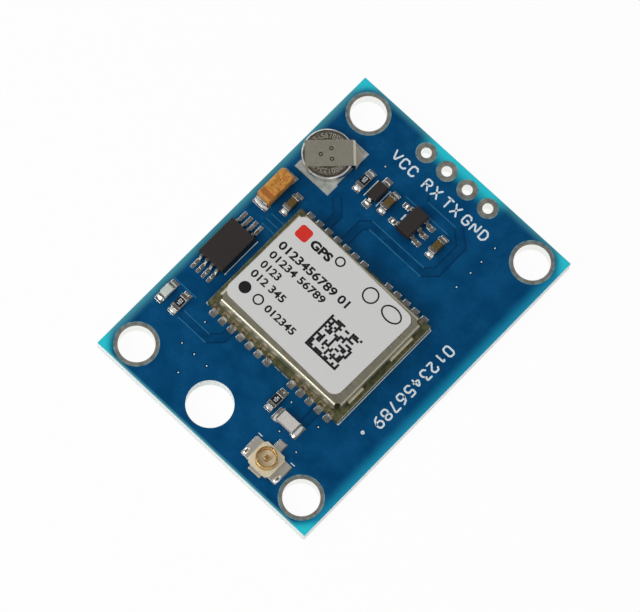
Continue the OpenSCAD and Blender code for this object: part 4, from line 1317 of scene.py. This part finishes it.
@dataclass
class Receiver:
    """The shielded receiver: carrier, edge contacts, can, label and the label's print. Places are in millimetres."""

    ink: float = 0.006
    rows: tuple[tuple[str, float, float, float, float, float], ...] = (
        ("GPS", -5.0, -2.65, 1.62, 2.52, 0.05),
        ("0123456789 01", -6.95, 1.4, -0.42, 0.46, 0.03),
        ("01234 56789", -6.95, -0.4, -1.6, -0.82, 0.028),
        ("0123", -6.9, -4.7, -2.8, -2.02, 0.028),
        ("012 345", -6.95, -3.0, -4.0, -3.22, 0.028),
        ("012345", -3.8, -0.3, -5.55, -4.8, 0.028),
    )
    rings: tuple[tuple[Point, float, float], ...] = (
        ((-1.9, 2.5), 0.42, 0.42), ((2.2, 2.1), 0.72, 0.72), ((4.75, 2.1), 1.0, 0.68), ((-4.75, -5.15), 0.45, 0.45),
    )
    dot: tuple[Point, float] = ((-6.4, -5.15), 0.58)
    square: tuple[Point, float, float] = ((-6.05, 2.15), 1.35, 0.3)
    feet: tuple[Point, ...] = ((-6.07, -4.31), (-0.63, 2.13))
    bead: Point = (0.18, 0.1)
    code_corner: Point = (0.95, -5.2)
    code_side: float = 3.7
    code_count: int = 16
    font_steps: int = 4
    code_fill: float = 0.98
    code_seed: int = 7
    ring_stroke: float = 0.15
    sunk: float = 0.002
    bead_sunk: float = 0.01
    dot_sunk: float = 0.004
    dot_faces: int = 40
    top: float = field(init=False)

    def __post_init__(self) -> None:
        """Read the height of the label's upper face."""
        self.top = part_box("can_label")[1].z / MM

    def dress(self) -> None:
        """Give the receiver's CAD nodes their finishes."""
        Workshop.dress(Finishes.LAMINATE, "carrier")
        Workshop.dress(Finishes.CONTACT, "edge_contacts")
        Workshop.dress(Finishes.SHEET, "shield_can", "oscillator", "clock_crystal")
        Workshop.dress(Finishes.LABEL, "can_label")
        Workshop.dress(Finishes.MOULDING, "receiver_chip", "amplifier_chip")
        Workshop.dress(Finishes.PALE, "antenna_filter")
        Workshop.dress(Finishes.BROWN, "inner_passives")

    def build_beads(self) -> None:
        """Run a bead of solder along each foot of the can's end walls, painted pale cream as a highlight."""
        low, high = Workshop.box("shield_can")
        sides = (low.x - 0.5 * self.bead[0], high.x + 0.5 * self.bead[0])
        paths = [((x, near), (x, far)) for x in sides for near, far in self.feet]
        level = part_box("carrier")[1].z / MM - self.bead_sunk
        Workshop.draw("foot_beads", paths, level, *self.bead, Finishes.BEAD_HIGHLIGHT, Slot.TIN)

    def line_of_figures(self, text: str, left: float, right: float, low: float, high: float, weight: float) -> Mesh:
        """Print one line of figures into a box.

        Args:
            text: The figures.
            left: The box's left side.
            right: The box's right side.
            low: The box's lower side.
            high: The box's upper side.
            weight: How far the strokes are thickened, as a share of the letter size.

        Returns:
            The line's mesh, in its place.
        """
        words = bpy.data.curves.new("figures", "FONT")
        words.body, words.size, words.offset, words.extrude = text, 1.0, weight, 0.5
        words.resolution_u = self.font_steps
        mesh = Workshop.evaluated(Workshop.linked("figures", words), "figures")
        xs, ys = [v.co.x for v in mesh.vertices], [v.co.y for v in mesh.vertices]
        wide, tall = (right - left) / (max(xs) - min(xs)), (high - low) / (max(ys) - min(ys))
        for vertex in mesh.vertices:
            vertex.co = (MM * (left + (vertex.co.x - min(xs)) * wide), MM * (low + (vertex.co.y - min(ys)) * tall),
                         MM * (self.top + self.ink * vertex.co.z))
        return mesh

    def build_print(self) -> None:
        """Print the label: lines of figures, plain rings, the first pin's dot and a red square."""
        level, depth = self.top - self.sunk, self.ink + self.sunk
        parts = [self.line_of_figures(*row) for row in self.rows]
        hoops = [ring(*one) for one in self.rings]
        parts.append(Workshop.strokes("rings", hoops, level, self.ring_stroke, depth, Finishes.BLACK_INK))
        place, reach = self.dot
        profile = ((0.0, -self.dot_sunk), (reach, -self.dot_sunk), (reach, self.ink), (0.0, self.ink))
        parts.append(Workshop.lathe("spot", profile, self.dot_faces))
        parts[-1].transform(Matrix.Translation(Vector((*place, self.top)) * MM))
        Workshop.piece("label_figures", Workshop.joined("label_figures", parts), Finishes.BLACK_INK, Slot.LABEL)
        middle, side, corner = self.square
        mesh = Workshop.plate("label_square", middle, side, side, level, depth, corner)
        Workshop.piece("label_square", mesh, Finishes.RED_INK, Slot.LABEL)

    def build_code(self) -> None:
        """Print the field of blocks from a fixed seed."""
        pitch = self.code_side / self.code_count
        across, along = ([(start + (index + 0.5) * pitch) * MM for index in range(self.code_count)]
                         for start in self.code_corner)
        level = (self.top + 0.5 * self.ink - 0.5 * self.sunk) * MM
        points = bpy.data.meshes.new("label_code.points")
        points.from_pydata([(x, y, level) for y in along for x in across], [], [])
        values = {"Count": self.code_count, "Pitch": self.code_fill * pitch * MM, "Height": self.ink * MM,
                  "Seed": self.code_seed, "Finish": Finishes.BLACK_INK.material()}
        mesh = Workshop.grown(points, CodeBlocks.tree(), values, "label_code")
        Workshop.piece("label_code", mesh, Finishes.BLACK_INK, Slot.LABEL)

    def build(self) -> None:
        """Dress the receiver, solder it down and print its label."""
        self.dress()
        Joints.build("carrier_joints", "carrier_solder")
        self.build_beads()
        self.build_print()
        self.build_code()


@dataclass
class Cell:
    """The sealed coin cell with its strap. Places are from the cell's middle, in millimetres."""

    stamp: str = "0123456789" * 3
    stamp_radius: float = 1.5
    stamp_size: Point = (0.22, 0.42)
    stamp_stroke: Point = (0.07, 0.03)
    stamp_sunk: float = 0.01
    welds: tuple[Point, ...] = ((-0.07, 0.54), (0.65, -0.15), (-0.39, -0.53))
    weld: tuple[Point, ...] = ((0.1, -0.02), (0.2, -0.02), (0.2, 0.004), (0.15, 0.014), (0.1, 0.004), (0.1, -0.02))
    weld_faces: int = 20

    def dress(self) -> None:
        """Give the cell's CAD nodes their finishes."""
        Workshop.dress(Finishes.CELL, "cell_can")
        Workshop.dress(Finishes.SEAL, "cell_gasket")
        Workshop.dress(Finishes.STAMP, "cell_cap")
        Workshop.dress(Finishes.STRAP, "cell_strap")
        Workshop.dress(Finishes.SATIN, "cell_base", "cell_solder")

    def build_stamp(self) -> None:
        """Stamp a ring of figures into the cap, painted lighter than the cap as a highlight."""
        low, high = Workshop.box("cell_cap")
        middle = (low + high) / 2
        paths: list[Path] = []
        for index, figure in enumerate(self.stamp):
            turn = -360.0 * index / len(self.stamp)
            corner = turned((middle.x, middle.y), -0.5 * self.stamp_size[0], self.stamp_radius, turn)
            paths += Lettering.place(figure, corner, *self.stamp_size, turn)
        Workshop.draw("cell_figures", paths, high.z - self.stamp_sunk, *self.stamp_stroke, Finishes.FIGURE_HIGHLIGHT, Slot.CELL)

    def build_welds(self) -> None:
        """Set the strap's weld spots, each a dished ring."""
        low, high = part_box("cell_can")
        middle = (low + high) / 2
        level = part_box("cell_strap")[1].z
        spots = [(Vector((middle.x + x * MM, middle.y + y * MM, level)), 0.0, Vector((1.0, 1.0, 1.0)))
                 for x, y in self.welds]
        Workshop.strew("weld_spots", Workshop.lathe("weld", self.weld, self.weld_faces), spots, Finishes.WELD,
                       Slot.STRAP)

    def build(self) -> None:
        """Dress the cell and build its marks."""
        self.dress()
        self.build_stamp()
        self.build_welds()


@dataclass
class Chips:
    """The small chips: capacitors, resistors, lamp, coil and the moulded packages. Sizes are in millimetres."""

    code_stroke: float = 0.05
    body_code: str = "106"
    codes: tuple[str, ...] = ("102", "103", "104")
    rounding: tuple[tuple[str, float, Finish, Slot], ...] = (
        ("tantalum_body", 0.16, Finishes.ORANGE, Slot.ORANGE),
        ("tantalum_terminals", 0.02, Finishes.TIN, Slot.TIN),
        ("capacitor_bodies", 0.04, Finishes.BROWN, Slot.BROWN),
        ("capacitor_ends", 0.05, Finishes.TIN, Slot.TIN),
        ("resistor_bodies", 0.03, Finishes.PALE, Slot.PALE),
        ("resistor_films", 0.015, Finishes.FILM, Slot.BLACK),
        ("resistor_ends", 0.03, Finishes.TIN, Slot.TIN),
        ("led_base", 0.02, Finishes.PALE, Slot.PALE),
        ("led_lens", 0.06, Finishes.LENS, Slot.LENS),
        ("led_ends", 0.02, Finishes.TIN, Slot.TIN),
        ("inductor_body", 0.05, Finishes.FERRITE, Slot.FERRITE),
        ("inductor_ends", 0.05, Finishes.TIN, Slot.TIN),
        ("memory_body", 0.05, Finishes.MOULDING, Slot.BLACK),
        ("memory_leads", 0.015, Finishes.TIN, Slot.TIN),
        ("regulator_body", 0.05, Finishes.MOULDING, Slot.BLACK),
        ("regulator_leads", 0.02, Finishes.TIN, Slot.TIN),
        ("diode_body", 0.04, Finishes.MOULDING, Slot.BLACK),
        ("diode_leads", 0.015, Finishes.TIN, Slot.TIN),
    )
    code_shape: tuple[float, float, float] = (0.24, 0.15, 0.44)
    code_ink: tuple[float, float, float] = (0.002, 0.008, 0.02)
    bar_margin: float = 0.26
    bar: tuple[float, float] = (0.57, 0.5)
    bar_ink: tuple[float, float, float] = (0.004, 0.01, 0.05)
    body_place: Point = (0.3, -0.35)
    body_shape: tuple[float, float, float] = (0.46, 0.28, 0.6)
    body_ink: tuple[float, float, float] = (0.003, 0.07, 0.006)

    def build_codes(self) -> None:
        """Print a value on each resistor."""
        paths: list[Path] = []
        level = 0.0
        for code, solid in zip(self.codes, Workshop.islands("resistor_films")):
            level = solid.high.z / MM
            span, middle = solid.span / MM, solid.middle / MM
            length, breadth = max(span.x, span.y), min(span.x, span.y)
            pitch, wide, tall = (share * side for share, side in zip(self.code_shape, (length, length, breadth)))
            turn = 90.0 if span.y > span.x else 0.0
            start = turned((middle.x, middle.y), -pitch - 0.5 * wide, -0.5 * tall, turn)
            paths += Lettering.row(code, start, pitch, wide, tall, turn)
        sunk, height, corner = self.code_ink
        Workshop.draw("value_print", paths, level - sunk, self.code_stroke, height, Finishes.INK, Slot.LABEL, corner)

    def build_polarity(self) -> None:
        """Print the bar that marks the tantalum capacitor's end, and its value."""
        low, high = Workshop.box("tantalum_body")
        middle, wide = (low + high) / 2, high.x - low.x - self.bar_margin
        (place, length), (sunk, thick, corner) = self.bar, self.bar_ink
        mesh = Workshop.plate("polarity_bar", (middle.x, low.y + place), wide, length, high.z - sunk, thick, corner)
        Workshop.piece("polarity_bar", mesh, Finishes.BURNT, Slot.ORANGE)
        start = (middle.x + self.body_place[0], middle.y + self.body_place[1])
        paths = Lettering.row(self.body_code, start, *self.body_shape, 90.0)
        sunk, width, height = self.body_ink
        Workshop.draw("body_value", paths, high.z - sunk, width, height, Finishes.BURNT, Slot.ORANGE)

    def build(self) -> None:
        """Round, print and solder the chips."""
        Workshop.round_off(self.rounding)
        self.build_codes()
        self.build_polarity()
        Joints.build("chip_joints", "chip_solder")
        Joints.build("lead_joints", "lead_solder")


@dataclass
class Socket:
    """The antenna socket: ivory insulator, turned shell and centre contact. Sizes are in millimetres."""

    rounding: tuple[tuple[str, float, Finish, Slot], ...] = (
        ("socket_insulator", 0.03, Finishes.BEIGE, Slot.BEIGE),
        ("socket_shell", 0.025, Finishes.SHELL, Slot.GILT),
        ("socket_contact", 0.03, Finishes.SHELL, Slot.GILT),
    )
    drop: tuple[float, float, float] = (0.34, 0.56, 0.36)
    drop_inset: Point = (0.2, -0.6)
    dome: tuple[Point, ...] = ((1.0, 0.0), (0.96, 0.35), (0.82, 0.66), (0.55, 0.88), (0.25, 0.98), (0.0, 1.0))

    def build_solder(self) -> None:
        """Run a drop of solder over the outer end of each ground foot."""
        low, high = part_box("socket_shell")
        middle = sum(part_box("socket_insulator"), Vector()) / 2
        inset, shift = (value * MM for value in self.drop_inset)
        spots = [(Vector((x, middle.y + shift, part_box("board")[1].z)), 0.0, Vector(self.drop))
                 for x in (low.x + inset, high.x - inset)]
        Workshop.strew("socket_drops", Workshop.lathe("dome", self.dome), spots, Finishes.SOLDER, Slot.TIN)

    def build(self) -> None:
        """Round the socket's edges and solder its feet."""
        Workshop.round_off(self.rounding)
        self.build_solder()


@dataclass
class Stage:
    """Floor, lamps, world and camera, set as in the photograph. Camera places are in millimetres and degrees.

    Horizon and zenith each give the sky's brightness in plain light and in mirrored light. The lamps' and the floor's
    sizes are in metres.
    """

    azimuth: float = 34.956
    elevation: float = 73.678
    roll: float = 8.802
    distance: float = 373.92
    focal_pixels: float = 4146.65
    image_width: int = 640
    target: tuple[float, float, float] = (-1.067, -0.778, 0.0)
    lamps: tuple[tuple[float, float, float, float], ...] = (
        (328.0, 48.0, 0.2, 0.23), (344.0, 48.0, 0.07, 0.13), (250.0, 42.0, 0.14, 0.12), (60.0, 38.0, 0.16, 0.12),
        (165.0, 48.0, 0.14, 0.06),
    )
    lamp_distance: float = 0.3
    floor_half: float = 1.0
    floor_level: float = -0.00002
    floor_white: float = 0.9
    floor_shine: float = 0.95
    sky_rise: Point = (0.35, 0.9)
    horizon: Point = (0.36, 0.6)
    zenith: Point = (0.3, 0.08)
    sensor: float = 36.0
    clip: Point = (0.01, 10.0)

    @staticmethod
    def towards(azimuth: float, elevation: float) -> Vector:
        """Give the direction to a viewer, where azimuth 0 stands on the -Y side and 90 on the +X side."""
        turn, lift = math.radians(azimuth), math.radians(elevation)
        return Vector((math.sin(turn) * math.cos(lift), -math.cos(turn) * math.cos(lift), math.sin(lift)))

    def build_floor(self) -> None:
        """Lay a white floor that keeps the shadow and is white to the camera."""
        mesh = bpy.data.meshes.new("floor")
        half, level = self.floor_half, self.floor_level
        mesh.from_pydata([(-half, -half, level), (half, -half, level), (half, half, level), (-half, half, level)],
                         [], [(0, 1, 2, 3)])
        floor = Workshop.linked("floor", mesh)
        material = bpy.data.materials.new("white_floor")
        wiring = Wiring.fresh(material)
        path = wiring.add("ShaderNodeLightPath").outputs
        seen = wiring.maths("MAXIMUM", path["Is Glossy Ray"], path["Is Transmission Ray"])
        share = wiring.maths("MULTIPLY", wiring.maths("MAXIMUM", path["Is Camera Ray"], seen), self.floor_shine)
        paper = wiring.add("ShaderNodeBsdfDiffuse", {"Color": (self.floor_white,) * 3})
        light = wiring.add("ShaderNodeEmission", {"Color": (1.0, 1.0, 1.0), "Strength": 1.0})
        both = wiring.add("ShaderNodeMixShader", {0: share, 1: paper.outputs[0], 2: light.outputs[0]})
        wiring.add("ShaderNodeOutputMaterial", {"Surface": both.outputs[0]})
        mesh.materials.append(material)

    def build_world(self) -> None:
        """Light the scene from a pale horizon under a dim zenith, white to the camera."""
        world = bpy.data.worlds.new("studio")
        bpy.context.scene.world = world
        wiring = Wiring.fresh(world)
        high = wiring.step(wiring.axes("Generated")["Z"], *self.sky_rise)
        path = wiring.add("ShaderNodeLightPath").outputs
        plain = [wiring.blend(path["Is Glossy Ray"], *((level,) * 3 for level in levels))
                 for levels in (self.horizon, self.zenith)]
        colour = wiring.blend(path["Is Camera Ray"], wiring.blend(high, *plain), (1.0, 1.0, 1.0))
        light = wiring.add("ShaderNodeBackground", {"Color": colour, "Strength": 1.0})
        wiring.add("ShaderNodeOutputWorld", {"Surface": light.outputs[0]})

    def build_lamps(self) -> None:
        """Hang the soft boxes, each from its azimuth, elevation, size and power."""
        for index, (azimuth, elevation, side, power) in enumerate(self.lamps):
            lamp = bpy.data.lights.new(f"softbox_{index}", "AREA")
            lamp.shape, lamp.size, lamp.energy = "SQUARE", side, power
            holder = Workshop.linked(f"softbox_{index}", lamp)
            way = self.towards(azimuth, elevation)
            holder.location = way * self.lamp_distance
            holder.rotation_euler = way.to_track_quat("Z", "Y").to_euler()

    def build_camera(self) -> None:
        """Set the camera where the photograph was taken from."""
        back = self.towards(self.azimuth, self.elevation)
        right = Vector((0.0, 0.0, 1.0)).cross(back).normalized()
        up = back.cross(right)
        cos, sin = math.cos(math.radians(self.roll)), math.sin(math.radians(self.roll))
        across, above = right * cos + up * sin, up * cos - right * sin
        data = bpy.data.cameras.new("photo_camera")
        data.sensor_fit, data.sensor_width = "HORIZONTAL", self.sensor
        data.lens = self.focal_pixels * self.sensor / self.image_width
        data.clip_start, data.clip_end = self.clip
        camera = Workshop.linked("photo_camera", data)
        place = (Vector(self.target) + back * self.distance) * MM
        turn = Matrix((across, above, back)).transposed().to_4x4()
        camera.matrix_world = Matrix.Translation(place) @ turn
        bpy.context.scene.camera = camera

    def build(self) -> None:
        """Set the whole stage."""
        bpy.context.scene.view_settings.view_transform = "Standard"
        self.build_floor()
        self.build_world()
        self.build_lamps()
        self.build_camera()


def main() -> None:
    """Build every sub-assembly in order and report its pieces."""
    logging.basicConfig(level=logging.INFO, format="%(message)s")
    assemblies: tuple[Any, ...] = (Stage(), Board(), Receiver(), Cell(), Chips(), Socket())
    for assembly in assemblies:
        LOG.info("building %s", type(assembly).__name__)
        assembly.build()


if __name__ == "__main__":
    main()
